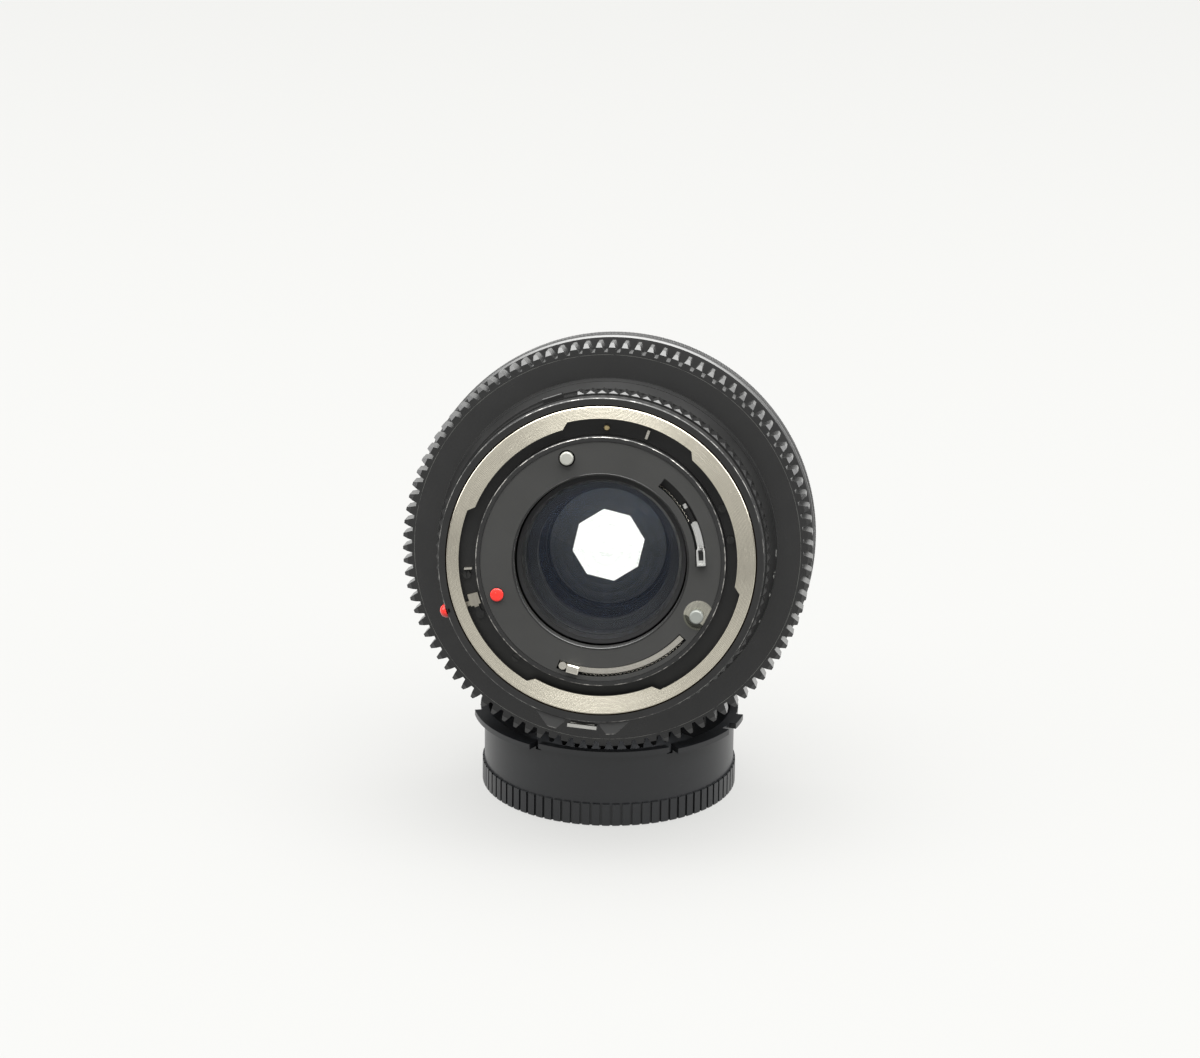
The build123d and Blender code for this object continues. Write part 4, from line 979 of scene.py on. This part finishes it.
class Bench:
    """Modelling steps that the scene's own pieces share.

    Attributes:
        smooth_deg: angle up to which faces are shaded smooth.
    """

    smooth_deg: float = 35.0

    @staticmethod
    def pick(piece: bpy.types.Object) -> None:
        """Select one object and nothing else.

        Args:
            piece: the object.
        """
        bpy.ops.object.select_all(action="DESELECT")
        piece.select_set(True)
        bpy.context.view_layer.objects.active = piece

    @staticmethod
    def start(add: Callable[..., object], name: str, **sizes: object) -> bpy.types.Object:
        """Add a primitive.

        Args:
            add: the operator that adds it.
            name: name of the piece.
            sizes: what the operator is given.

        Returns:
            The new object.
        """
        bpy.ops.object.select_all(action="DESELECT")
        add(**sizes)
        piece = bpy.context.object
        piece.name = name
        piece.data.name = name
        return piece

    @staticmethod
    def select_edges(piece: bpy.types.Object, wanted: Callable[[Vector, Vector], bool]) -> None:
        """In edit mode, select the edges whose two ends pass a test, and nothing else.

        Args:
            piece: the object in edit mode.
            wanted: test of the two ends' places.
        """
        mesh = bmesh.from_edit_mesh(piece.data)
        bpy.ops.mesh.select_mode(type="EDGE")
        bpy.ops.mesh.select_all(action="DESELECT")
        for edge in mesh.edges:
            edge.select_set(wanted(edge.verts[0].co, edge.verts[1].co))
        bmesh.update_edit_mesh(piece.data)

    @classmethod
    def settle(cls, piece: bpy.types.Object, modifiers: Iterable[str] = ()) -> None:
        """Apply an object's modifiers, and its own place, turn and scale.

        Args:
            piece: the object.
            modifiers: names of the modifiers.
        """
        cls.pick(piece)
        for name in modifiers:
            bpy.ops.object.modifier_apply(modifier=name)
        bpy.ops.object.transform_apply(location=True, rotation=True, scale=True)

    @classmethod
    def wind(cls, profile: bpy.types.Object, axis: str, steps: int, **settings: object) -> None:
        """Turn or wind a profile into a solid.

        Args:
            profile: the section.
            axis: the axis that it turns about.
            steps: facets in a turn.
            settings: other properties of the Screw modifier.
        """
        screw = profile.modifiers.new("wind", "SCREW")
        screw.axis = axis
        screw.steps = screw.render_steps = steps
        for name, value in settings.items():
            setattr(screw, name, value)
        cls.settle(profile, ["wind"])

    @staticmethod
    def close(merge: bool = False) -> None:
        """Turn the faces of the active mesh outwards and leave it in object mode.

        Args:
            merge: whether its doubles are merged first.
        """
        bpy.ops.object.mode_set(mode="EDIT")
        bpy.ops.mesh.select_all(action="SELECT")
        if merge:
            bpy.ops.mesh.remove_doubles(threshold=DOUBLES_M)
        bpy.ops.mesh.normals_make_consistent(inside=False)
        bpy.ops.object.mode_set(mode="OBJECT")

    @classmethod
    def finish(cls, piece: bpy.types.Object, material: bpy.types.Material, body: str) -> None:
        """Move a piece from lens coordinates to the row frame, dress it and let it ride.

        Args:
            piece: object made in lens coordinates, with z rearwards.
            material: its finish.
            body: name of the body that carries it.
        """
        piece.matrix_world = LENS.matrix() @ piece.matrix_world
        cls.settle(piece)
        bpy.ops.object.shade_smooth_by_angle(angle=math.radians(cls.smooth_deg))
        piece.data.materials.clear()
        piece.data.materials.append(material)
        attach(piece, body)
        logger.info("%s rides on %s", piece.name, body)


@dataclass
class CoilSpring:
    """Close-coiled tension spring that lies along an arc round the lens axis.

    Attributes:
        name: name of the piece.
        node: the CAD node that it stands for.
        arc_radius: radius of the arc that the coils follow.
        start_deg: where the arc starts.
        sweep_deg: how far it goes.
        station: its place along the lens axis.
        coil_radius: from the middle of the coils to the middle of the wire.
        wire_radius: half the wire's thickness.
        pitch: from coil to coil.
        wire_facets: flats round the wire.
        coil_facets: steps in one coil.
    """

    name: str
    node: str
    arc_radius: float
    start_deg: float
    sweep_deg: float
    station: float = 0.4
    coil_radius: float = 0.115
    wire_radius: float = 0.08
    pitch: float = 0.8
    wire_facets: int = 6
    coil_facets: int = 10

    def build(self, material: bpy.types.Material) -> None:
        """Wind the spring, bend it round and put it in its slot.

        Args:
            material: its finish.
        """
        coil = Bench.start(
            bpy.ops.mesh.primitive_circle_add,
            self.name,
            vertices=self.wire_facets,
            radius=self.wire_radius * MILLI,
            fill_type="NGON",
            rotation=(math.pi / 2, 0.0, 0.0),
            location=(0.0, 0.0, self.coil_radius * MILLI),
        )
        Bench.settle(coil)
        winding = {
            "iterations": round(self.arc_radius * math.radians(self.sweep_deg) / self.pitch),
            "screw_offset": self.pitch * MILLI,
            "use_merge_vertices": False,
        }
        Bench.wind(coil, "X", self.coil_facets, **winding)
        length = coil.dimensions.x
        bend = coil.modifiers.new("bend", "SIMPLE_DEFORM")
        bend.deform_method = "BEND"
        bend.deform_axis = "Z"
        bend.angle = length / (self.arc_radius * MILLI)
        Bench.settle(coil, ["bend"])
        Bench.close(merge=True)
        below_deg = -90.0
        turn = Matrix.Rotation(math.radians(self.start_deg - below_deg), 4, "Z")
        drop = Matrix.Translation(millimetres(0.0, -self.arc_radius, 0.0))
        coil.matrix_world = Matrix.Translation(millimetres(0.0, 0.0, -self.station)) @ turn @ drop
        Bench.settle(coil)
        Bench.finish(coil, material, Body.HOUSING.value)
        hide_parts(self.node)


LEVER_SPRINGS = (
    CoilSpring("auto_lever_coil", "auto_lever_spring", arc_radius=22.0, start_deg=262.0, sweep_deg=55.0),
    CoilSpring("signal_lever_coil", "signal_lever_spring", arc_radius=18.375, start_deg=26.0, sweep_deg=27.0),
)


@dataclass
class DiamondKnurl:
    """Band of small raised diamonds round the front ring.

    Attributes:
        radius: radius of the ring below the band.
        rear: station of the band's rear edge.
        front: station of its front edge.
        count: diamonds round the ring.
        height: how high a diamond stands.
        skin: play between the ring and the band's grooves.
        sink: how deep the band's two borders reach into the ring.
    """

    radius: float = 40.0
    rear: float = 43.3
    front: float = 47.9
    count: int = 330
    height: float = 0.17
    skin: float = 0.012
    sink: float = 0.1

    def build(self, material: bpy.types.Material) -> None:
        """Cut the band.

        Args:
            material: its finish.
        """
        pitch = 2.0 * math.pi * self.radius / self.count
        width = self.front - self.rear
        rows = round(width / pitch)
        band = Bench.start(
            bpy.ops.mesh.primitive_cylinder_add,
            "front_ring_knurl",
            vertices=self.count,
            radius=(self.radius + self.skin) * MILLI,
            depth=width * MILLI,
            end_fill_type="NOTHING",
        )
        step = width / rows * MILLI
        edge = width / 2 * MILLI

        def on_grid(place: Vector) -> bool:
            """Whether a point lies on a row of the first grid."""
            play = 0.1
            row = (place.z + edge) / step
            return abs(row - round(row)) < play

        def inside(a: Vector, b: Vector) -> bool:
            """Whether an edge belongs to the first grid, and not to the band's borders."""
            return on_grid(a) and on_grid(b) and not self._on_border(a, b, edge)

        bpy.ops.object.mode_set(mode="EDIT")
        Bench.select_edges(band, lambda a, b: abs(a.z - b.z) > step / 2)
        bpy.ops.mesh.subdivide(number_cuts=rows - 1)
        self._poke(0.0)
        Bench.select_edges(band, inside)
        bpy.ops.mesh.dissolve_edges(use_verts=False)
        self._poke(self.height)
        Bench.select_edges(band, lambda a, b: self._on_border(a, b, edge))
        bpy.ops.mesh.extrude_region_move()
        share = (self.radius - self.sink) / (self.radius + self.skin)
        bpy.ops.transform.resize(value=(share, share, 1.0))
        Bench.close()
        band.matrix_world = Matrix.Translation(millimetres(0.0, 0.0, -(self.rear + self.front) / 2))
        Bench.finish(band, material, Body.OPTICS.value)

    @staticmethod
    def _poke(height: float) -> None:
        """Raise a point in the middle of each face.

        Args:
            height: how high the point stands.
        """
        bpy.ops.mesh.select_mode(type="FACE")
        bpy.ops.mesh.select_all(action="SELECT")
        bpy.ops.mesh.poke(offset=height * MILLI)

    @staticmethod
    def _on_border(first: Vector, second: Vector, edge: float) -> bool:
        """Whether an edge of the mesh lies on one of the borders, at a height of edge."""
        near = 0.99
        return abs(first.z) > edge * near and abs(first.z - second.z) < DOUBLES_M


@dataclass
class FilterThread:
    """Screw thread for filters, inside the front ring.

    Attributes:
        radius: radius of the bore that carries it.
        depth: height of the thread's ridge.
        pitch: from turn to turn.
        rear: station of the first turn.
        turns: number of turns.
        root: how deep the ridge reaches into the ring.
        facets: steps in a turn.
    """

    radius: float = 38.1
    depth: float = 0.42
    pitch: float = 0.75
    rear: float = 43.2
    turns: int = 6
    root: float = 0.05
    facets: int = 128

    def build(self, material: bpy.types.Material) -> None:
        """Cut the thread, from a triangle inside a circle of two thirds of its depth.

        Args:
            material: its finish.
        """
        ridge = Bench.start(
            bpy.ops.mesh.primitive_circle_add,
            "filter_thread_ridge",
            vertices=3,
            radius=self.depth * 2.0 / 3.0 * MILLI,
            fill_type="NGON",
            rotation=(math.pi / 2, -math.pi / 2, 0.0),
            location=millimetres(self.radius - self.depth / 3.0 + self.root, 0.0, 0.0),
        )
        Bench.settle(ridge)
        Bench.wind(ridge, "Z", self.facets, iterations=self.turns, screw_offset=self.pitch * MILLI)
        Bench.close(merge=True)
        end = self.rear + self.turns * self.pitch
        ridge.matrix_world = Matrix.Translation(millimetres(0.0, 0.0, -end))
        Bench.finish(ridge, material, Body.OPTICS.value)


@dataclass
class IrisBlades:
    """The iris's blades, whose inner edges are straight where they bound the opening.

    Attributes:
        count: number of blades.
        first_deg: angle of the first blade's pivot.
        pivot: radius of the circle of pivots.
        inner: radius of a blade's inner edge.
        outer: radius of its outer edge.
        start_deg: where a blade starts, from its pivot.
        sweep_deg: how far it reaches.
        rest_deg: how far it is turned inwards in the rest pose.
        apothem: from the lens axis to a side of the opening, in the rest pose.
        half_side: half the length of the straight part.
        first_front: station of the first blade's front.
        step: from blade to blade along the axis.
        thickness: of the sheet.
        stud_radius: of the root and tail studs.
        stud_facets: flats round a stud.
        tail_deg: angle from the root stud to the tail stud.
        foot_radii: of the sheet round the root stud, between the studs and round the tail stud.
        base: station where the root studs end.
        actuator: station where the tail studs end.
        skin: how much thicker the sheet is at the studs.
        broken_edge: bevel of the studs and of the sheet round them.
        facets: steps of a blade's round edges.
        slice_deg: width of the slice that is spun to the blade.
        side_reach: how far the inner edge is straightened, in shares of half_side.
        fall: how fast that edge falls back past the straight part.
    """

    count: int = 8
    first_deg: float = 25.7
    pivot: float = 19.4
    inner: float = 11.6
    outer: float = 18.5
    start_deg: float = -3.0
    sweep_deg: float = 102.0
    rest_deg: float = 13.826
    apothem: float = 6.58
    half_side: float = 3.3
    first_front: float = 25.15
    step: float = 0.2
    thickness: float = 0.15
    stud_radius: float = 0.5
    stud_facets: int = 24
    tail_deg: float = 8.5
    foot_radii: tuple[float, float, float] = (1.2, 0.8, 1.05)
    base: float = 24.06
    actuator: float = 27.64
    skin: float = 0.01
    broken_edge: float = 0.03
    facets: int = 34
    slice_deg: float = 1.0
    side_reach: float = 1.6
    fall: float = 0.35

    def build(self, material: bpy.types.Material) -> None:
        """Press all the blades.

        Args:
            material: their finish.
        """
        for number in range(self.count):
            front = self.first_front + self.step * number
            blade = self._leaf(f"iris_leaf_{number + 1}", front)
            spin = Matrix.Rotation(math.radians(self.first_deg + 360.0 / self.count * number), 4, "Z")
            blade.matrix_world = Matrix.Translation(millimetres(0.0, 0.0, -front)) @ spin
            Bench.settle(blade)
            body = f"iris_blade_{number + 1}"
            Bench.finish(blade, material, body)
            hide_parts(body)

    def _leaf(self, name: str, front: float) -> bpy.types.Object:
        """One blade, its pivot at angle 0 and its front face at z 0.

        Args:
            name: name of the piece.
            front: station of its front face.

        Returns:
            The blade with its studs.
        """
        rest = math.radians(self.rest_deg)
        start = math.radians(self.start_deg) + rest
        angles = (rest, start, start - math.radians(self.slice_deg))
        arm, along, ahead = (Vector((math.cos(angle), math.sin(angle), 0.0)) for angle in angles)
        hub = Vector((self.pivot, 0.0, 0.0)) - self.pivot * arm
        leaf = Bench.start(bpy.ops.mesh.primitive_plane_add, name, size=1.0)
        bpy.ops.object.mode_set(mode="EDIT")
        mesh = bmesh.from_edit_mesh(leaf.data)
        corners = (ahead * self.inner, ahead * self.outer, along * self.outer, along * self.inner)
        # The plane's last two points come in the other order.
        first, second, fourth, third = mesh.verts
        for corner, vertex in zip(corners, (first, second, third, fourth)):
            vertex.co = (hub + corner) * MILLI
        bmesh.update_edit_mesh(leaf.data)
        Bench.select_edges(leaf, lambda a, b: self._on_ray(a, b, hub, along))
        sweep = math.radians(self.sweep_deg)
        bpy.ops.mesh.spin(
            steps=self.facets, angle=-sweep, center=tuple(hub * MILLI), axis=(0.0, 0.0, 1.0), dupli=False
        )
        bpy.ops.mesh.select_all(action="SELECT")
        bpy.ops.mesh.remove_doubles(threshold=DOUBLES_M)
        self._straighten(leaf, hub)
        bpy.ops.mesh.select_all(action="SELECT")
        bpy.ops.mesh.normals_make_consistent(inside=False)
        bpy.ops.mesh.extrude_region_move(TRANSFORM_OT_translate={"value": (0.0, 0.0, self.thickness * MILLI)})
        Bench.close()
        return self._add_studs(leaf, front)

    def _add_studs(self, leaf: bpy.types.Object, front: float) -> bpy.types.Object:
        """Join the studs, and the thicker sheet round them, to a blade.

        Args:
            leaf: the blade, its front face at z 0.
            front: station of that face.

        Returns:
            The whole blade.
        """
        places = [self._on_arm(math.radians(self.tail_deg) * share) for share in (0.0, 0.5, 1.0)]
        discs = [
            self._disc(places[0], self.stud_radius, self.thickness, front - self.base),
            self._disc(places[-1], self.stud_radius, front - self.actuator, 0.0),
        ]
        for place, radius in zip(places, self.foot_radii):
            discs.append(self._disc(place, radius, -self.skin, self.thickness + self.skin))
        Bench.pick(leaf)
        for disc in discs:
            disc.select_set(True)
        bpy.ops.object.join()
        return bpy.context.object

    def _on_arm(self, turn: float) -> Vector:
        """Place on the arm that joins the root stud to the tail stud, at a turn in radians."""
        arm = Vector((self.pivot * math.cos(turn) - self.pivot, -self.pivot * math.sin(turn), 0.0))
        return Vector((self.pivot, 0.0, 0.0)) + Matrix.Rotation(math.radians(self.rest_deg), 3, "Z") @ arm

    def _disc(self, place: Vector, radius: float, low: float, high: float) -> bpy.types.Object:
        """A stud or a round foot of the sheet, with broken edges.

        Args:
            place: its middle.
            radius: half its width.
            low: height of its front end over the sheet's front face.
            high: height of its rear end.

        Returns:
            The disc.
        """
        disc = Bench.start(
            bpy.ops.mesh.primitive_cylinder_add,
            "stud",
            vertices=self.stud_facets,
            radius=radius * MILLI,
            depth=(high - low) * MILLI,
            location=tuple((place + Vector((0.0, 0.0, (low + high) / 2))) * MILLI),
        )
        Bench.settle(disc)
        bpy.ops.object.mode_set(mode="EDIT")
        bpy.ops.mesh.select_all(action="SELECT")
        bpy.ops.mesh.bevel(offset=self.broken_edge * MILLI, segments=1)
        bpy.ops.object.mode_set(mode="OBJECT")
        return disc

    @staticmethod
    def _on_ray(first: Vector, second: Vector, hub: Vector, along: Vector) -> bool:
        """Whether an edge lies on a ray from the hub."""
        parallel = 0.99999
        return all((place / MILLI - hub).normalized().dot(along) > parallel for place in (first, second))

    def _straighten(self, leaf: bpy.types.Object, hub: Vector) -> None:
        """Move the inner edge's points on to the straight side of the opening.

        Args:
            leaf: the blade in edit mode.
            hub: middle of the blade's round edges.
        """
        play = 0.01
        outwards = -hub.normalized()
        side = Vector((-outwards.y, outwards.x, 0.0))
        mesh = bmesh.from_edit_mesh(leaf.data)
        for vertex in mesh.verts:
            place = vertex.co / MILLI
            if abs((place - hub).length - self.inner) > play:
                continue
            across = place.dot(side)
            if place.dot(outwards) < 0.0 or abs(across) > self.half_side * self.side_reach:
                continue
            reach = self.apothem + max(0.0, abs(across) - self.half_side) * self.fall
            vertex.co = (outwards * min(reach, place.dot(outwards)) + side * across) * MILLI
        bmesh.update_edit_mesh(leaf.data)


@dataclass(frozen=True)
class IndexDome:
    """Red dome that stands for an index dot.

    Attributes:
        name: name of the piece.
        node: the CAD node that it stands for.
        body: the body that carries it.
        radius: half its width.
        rise: how far it stands proud.
        drop: how far it is set in.
        facets: steps round it.
        rings: steps of the whole sphere that it is cut from.
    """

    name: str
    node: str
    body: Body
    radius: float
    rise: float
    drop: float
    facets: int = 40
    rings: int = 24

    def build(self, material: bpy.types.Material, foot: Matrix) -> None:
        """Shape the dome and set it in.

        Args:
            material: its finish.
            foot: place of its foot in lens coordinates, with z along the dome.
        """
        dome = Bench.start(
            bpy.ops.mesh.primitive_uv_sphere_add,
            self.name,
            segments=self.facets,
            ring_count=self.rings,
            radius=self.radius * MILLI,
        )
        bpy.ops.object.mode_set(mode="EDIT")
        bpy.ops.mesh.select_all(action="SELECT")
        bpy.ops.mesh.bisect(plane_co=(0.0, 0.0, 0.0), plane_no=(0.0, 0.0, 1.0), clear_inner=True)
        bpy.ops.mesh.select_all(action="SELECT")
        bpy.ops.transform.resize(value=(1.0, 1.0, self.rise / self.radius))
        level = self.rise * MILLI * MILLI
        Bench.select_edges(dome, lambda a, b: abs(a.z) < level and abs(b.z) < level)
        bpy.ops.mesh.extrude_region_move(TRANSFORM_OT_translate={"value": (0.0, 0.0, -self.drop * MILLI)})
        bpy.ops.mesh.edge_face_add()
        Bench.close()
        dome.matrix_world = foot
        Bench.settle(dome)
        Bench.finish(dome, material, self.body.value)
        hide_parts(self.node)


@dataclass
class RedDots:
    """The red index dots of the collar and of the plate.

    Attributes:
        collar: the collar's dot.
        collar_deg: its angle round the lens.
        collar_radius: from the lens axis to its foot.
        collar_station: its place along the axis.
        plate: the plate's dot.
        plate_station: place of its foot along the axis.
    """

    collar: IndexDome = IndexDome(
        "collar_index_dome", "collar_index_dot", Body.SHELL, radius=1.33, rise=1.25, drop=0.7
    )
    collar_deg: float = 200.0
    collar_radius: float = 31.25
    collar_station: float = 1.4
    plate: IndexDome = IndexDome(
        "plate_index_dome", "plate_index_dot", Body.HOUSING, radius=1.26, rise=0.3, drop=0.25
    )
    plate_station: float = -1.3

    def build(self, collar_red_and_painted_shade: bpy.types.Material, plate_red: bpy.types.Material) -> None:
        """Set both dots in.

        Args:
            collar_red_and_painted_shade: finish of the collar's dot, red with painted shade near its foot.
            plate_red: finish of the plate's dot.
        """
        round_lens = Matrix.Rotation(math.radians(self.collar_deg), 4, "Z")
        outwards = round_lens @ Matrix.Rotation(math.pi / 2, 4, "Y")
        along = Matrix.Translation(millimetres(0.0, 0.0, -self.collar_station))
        foot = along @ outwards @ Matrix.Translation(millimetres(0.0, 0.0, self.collar_radius))
        self.collar.build(collar_red_and_painted_shade, foot)
        low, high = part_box(self.plate.node)
        middle = LENS.matrix().inverted() @ ((Vector(low) + Vector(high)) / 2)
        foot = Matrix.Translation(Vector((middle.x, middle.y, -self.plate_station * MILLI)))
        self.plate.build(plate_red, foot)


@dataclass
class TurnedRing:
    """Small ring turned round the lens axis.

    Attributes:
        name: name of the piece.
        body: the body that carries it.
        profile: (radius, station) corners of its section, in order.
        facets: steps round the ring.
    """

    name: str
    body: Body
    profile: tuple[tuple[float, float], ...]
    facets: int = 160

    def build(self, material: bpy.types.Material) -> None:
        """Turn the ring.

        Args:
            material: its finish.
        """
        ring = Bench.start(
            bpy.ops.mesh.primitive_circle_add,
            self.name,
            vertices=len(self.profile),
            radius=MILLI,
            fill_type="NGON",
        )
        bpy.ops.object.mode_set(mode="EDIT")
        mesh = bmesh.from_edit_mesh(ring.data)
        for vertex, (radius, station) in zip(mesh.verts, self.profile):
            vertex.co = millimetres(radius, 0.0, -station)
        bmesh.update_edit_mesh(ring.data)
        bpy.ops.mesh.select_all(action="SELECT")
        bpy.ops.mesh.delete(type="ONLY_FACE")
        bpy.ops.object.mode_set(mode="OBJECT")
        Bench.wind(ring, "Z", self.facets, use_merge_vertices=True, merge_threshold=MILLI * MILLI)
        Bench.close()
        Bench.finish(ring, material, self.body.value)


PLATE_HOLE_LIP = TurnedRing(
    "plate_hole_lip",
    Body.HOUSING,
    profile=((16.58, -1.0), (16.6, -1.3), (16.7, -1.4), (16.86, -1.38), (16.95, -1.28), (16.95, -1.0)),
)


@dataclass(frozen=True)
class Mark:
    """One number or line of a scale.

    Attributes:
        text: what is printed.
        angle: where its middle lies round the lens.
        shift: how far ahead of the scale's station it lies.
        height: height of its letters.
    """

    text: str
    angle: float
    shift: float = 0.0
    height: float = 1.15


@dataclass
class DialScale:
    """Plain numbers and lines printed on a turned ring.

    Attributes:
        name: name of the piece.
        body: the body that carries it.
        radius: radius of the ring at the numbers' middle.
        slope: how much the ring widens for each millimetre forwards.
        station: the numbers' middle along the axis.
        marks: what is printed.
        skin: how far the print stands proud.
        depth: its thickness.
        capital_share: height of a capital, as a share of the letters' size.
        curve_steps: steps of each curve of the letters.
    """

    name: str
    body: Body
    radius: float
    slope: float
    station: float
    marks: tuple[Mark, ...]
    skin: float = 0.03
    depth: float = 0.06
    capital_share: float = 0.7
    curve_steps: int = 4

    def build(self, material: bpy.types.Material) -> None:
        """Print the scale.

        Args:
            material: its finish.
        """
        printed = []
        for mark in self.marks:
            bpy.ops.object.select_all(action="DESELECT")
            bpy.ops.object.text_add()
            letters = bpy.context.object.data
            letters.body = mark.text
            letters.size = mark.height * MILLI / self.capital_share
            letters.align_x, letters.align_y = "CENTER", "CENTER"
            letters.extrude = self.depth / 2 * MILLI
            letters.resolution_u = self.curve_steps
            bpy.ops.object.convert(target="MESH")
            printed.append(bpy.context.object)
            for vertex in printed[-1].data.vertices:
                vertex.co = self._wrap(vertex.co / MILLI, mark)
        Bench.pick(printed[0])
        for letters in printed:
            letters.select_set(True)
        bpy.ops.object.join()
        scale = bpy.context.object
        scale.name = scale.data.name = self.name
        Bench.close(merge=True)
        Bench.finish(scale, material, self.body.value)

    def _wrap(self, place: Vector, mark: Mark) -> Vector:
        """Bend a flat point round the ring.

        Args:
            place: its place across, along and above the print, in millimetres.
            mark: the mark that it belongs to.

        Returns:
            The point in lens coordinates.
        """
        forwards = place.y + mark.shift
        reach = self.radius + self.slope * forwards + self.skin - self.depth / 2 + place.z
        turn = math.radians(mark.angle) - place.x / self.radius
        return millimetres(reach * math.cos(turn), reach * math.sin(turn), -(self.station + forwards))


@dataclass
class Dials:
    """The lens's two printed scales, whose index is on the side of the red dots.

    Attributes:
        index_deg: angle of the index.
        focus_sweep_deg: how far the distances reach round the focus ring.
        nearest_m: nearest distance in focus.
        distances_m: the distances that are printed.
        depths: (number, angle from the index) of the depth scale's marks.
    """

    index_deg: float = 200.0
    focus_sweep_deg: float = 160.0
    nearest_m: float = 0.45
    distances_m: tuple[float, ...] = (0.45, 0.5, 0.6, 0.7, 0.8, 1, 1.5, 2, 3, 5, 10)
    depths: tuple[tuple[str, float], ...] = (("4", 6.0), ("8", 11.5), ("11", 17.0), ("16", 23.5))

    def build(self, material: bpy.types.Material) -> None:
        """Print both scales.

        Args:
            material: their finish.
        """
        marks = [Mark("|", self.index_deg, shift=1.5, height=1.5)]
        for text, offset in self.depths:
            for angle in (self.index_deg - offset, self.index_deg + offset):
                marks.append(Mark(text, angle, shift=-0.7, height=1.25))
                marks.append(Mark("|", angle, shift=1.6, height=1.0))
        depth_scale = DialScale(
            "depth_scale_marks", Body.SHELL, radius=32.25, slope=1.0 / 6.0, station=16.2, marks=tuple(marks)
        )
        depth_scale.build(material)
        turns = [(f"{distance:g}", 1.0 - self.nearest_m / distance) for distance in self.distances_m]
        turns.append(("\u221e", 1.0))
        marks = [Mark(text, self.index_deg + self.focus_sweep_deg * share) for text, share in turns]
        distance_scale = DialScale(
            "distance_marks", Body.FOCUS, radius=32.93, slope=0.17, station=20.28, marks=tuple(marks)
        )
        distance_scale.build(material)


def main() -> None:
    """Build the scene in order."""
    logging.basicConfig(level=logging.INFO, format="%(name)s: %(message)s")
    bpy.ops.object.select_all(action="DESELECT")
    wardrobe = Wardrobe()
    wardrobe.dress()
    finishes = wardrobe.materials
    for spring in LEVER_SPRINGS:
        spring.build(finishes["spring_steel"])
    IrisBlades().build(finishes["blade_steel"])
    RedDots().build(COLLAR_RED_AND_PAINTED_SHADE.make(), finishes["red_enamel"])
    PLATE_HOLE_LIP.build(finishes["ring_plastic"])
    Dials().build(DIAL_GREY.make())
    DiamondKnurl().build(finishes["front_ring_alloy"])
    FilterThread().build(finishes["front_ring_alloy"])
    Studio().build()


if __name__ == "__main__":
    main()
